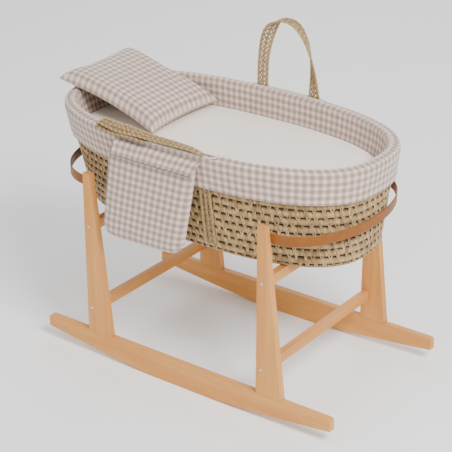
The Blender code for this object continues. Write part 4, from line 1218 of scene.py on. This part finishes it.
def make_flap():
    """Cloth that comes over the rim's edge and hangs over the pouch's mouth, hemmed."""
    low, high = corners("pouch_flap")
    back_y, front_y = high.y, low.y
    thick = 1.9 * MM
    slant = 15 * MM
    key = [(back_y - 1.2 * MM, high.z - 0.3 * MM), (back_y - 5.0 * MM, high.z - 3.2 * MM),
           (back_y - 11.5 * MM, high.z - 10 * MM), (front_y + 1.6 * MM, low.z + 15 * MM),
           (front_y - 2.0 * MM, low.z + 8 * MM), (front_y - 4.2 * MM, low.z + 1.0 * MM)]
    line = smooth_line([(0, y, z) for y, z in key], 5)
    tangent = unit(np.gradient(line, axis=0))
    normal = np.cross(tangent, (1.0, 0, 0))
    columns = np.linspace(0, 1, 45)
    rows = []
    inner = line - normal * thick
    hem = (line[-1] + inner[-1]) / 2 - np.array((0, 0, 0.9 * MM))
    for _, y, z in (*line, hem, *inner[::-1]):
        row = []
        for share in columns:
            fall = min(max((high.z - z) / (high.z - low.z), 0), 1)
            x = low.x + share * (high.x - low.x - slant * fall)
            ripple = 0.7 * MM * noise.noise(Vector((x, 0.2, z * 0.3)) / (40 * MM)) * fall
            row.append((x, y + ripple + 0.6 * MM * fall, z))
        rows.append(row)
    rows = np.array(rows)
    uv = closed_uv(columns[:, None] * (high.x - low.x), -lengths_along(rows[:, 0])[None, :])
    maker = Maker()
    maker.grid(rows.transpose(1, 0, 2), uv, wrap_columns=True, caps=True)
    item = place(maker.finish("gingham_flap", GINGHAM), "flap", "gingham", "pouch_flap")
    # A thin dark tube along the flap's lower fold: painted shadow under the hem.
    fold = rows[len(line)] + np.array((0, 0.2 * MM, -0.7 * MM))
    maker = Maker()
    tube(maker, fold, (0, 1, 0), (2.6 * MM, 2.2 * MM), 6)
    seam = place(maker.finish("flap_hem_painted_shadow", PAINTED_HEM_SHADOW), "flap", "gingham")


# ---- stage ----
FLOOR_REACH = 12
FLOOR_TONE, WORLD_STRENGTH = 0.97, 0.9
LAMPS = (("key", (2.7, -1.2, 3.3), 1.5, 215), ("fill", (-1.6, -3.4, 2.0), 2.8, 30),
         ("back", (-1.2, 3.0, 2.8), 2.4, 40))      # name, place, size in metres, power in watts


def make_stage():
    """A pale floor, an even sky and three soft lamps."""
    mesh = bpy.data.meshes.new("floor")
    square = [(x * FLOOR_REACH, y * FLOOR_REACH, 0) for x, y in ((-1, -1), (1, -1), (1, 1), (-1, 1))]
    mesh.from_pydata(square, [], [(0, 1, 2, 3)])
    floor = link("floor", mesh)
    floor.location.z = -0.2 * MM
    shader = Shader("floor", 0.9)
    shader.main.inputs["Base Color"].default_value = (*(FLOOR_TONE,) * 3, 1)
    mesh.materials.append(shader.material)
    world = bpy.data.worlds.new("studio")
    bpy.context.scene.world = world
    world.use_nodes = True
    background = world.node_tree.nodes["Background"]
    background.inputs["Color"].default_value = (1, 1, 1, 1)
    background.inputs["Strength"].default_value = WORLD_STRENGTH
    for name, spot, size, power in LAMPS:
        light = bpy.data.lights.new(name, "AREA")
        light.size, light.energy = size, power
        lamp = link(name, light)
        lamp.location = spot
        aim = Vector((0, 0, 0.45)) - Vector(spot)
        lamp.rotation_euler = aim.to_track_quat("-Z", "Y").to_euler()


finish_timber()
make_strap("head")
make_strap("foot")
make_wall()
make_stitches()
make_floor()
make_bands()
make_far_handle()
make_near_handle()
make_bumper()
make_skirt()
make_slot_bindings()
make_bedding()
make_pillow()
make_pouch()
make_flap()
coat(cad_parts["rim_coil"], PLAITED_STRAW)
make_stage()

bpy.context.view_layer.update()
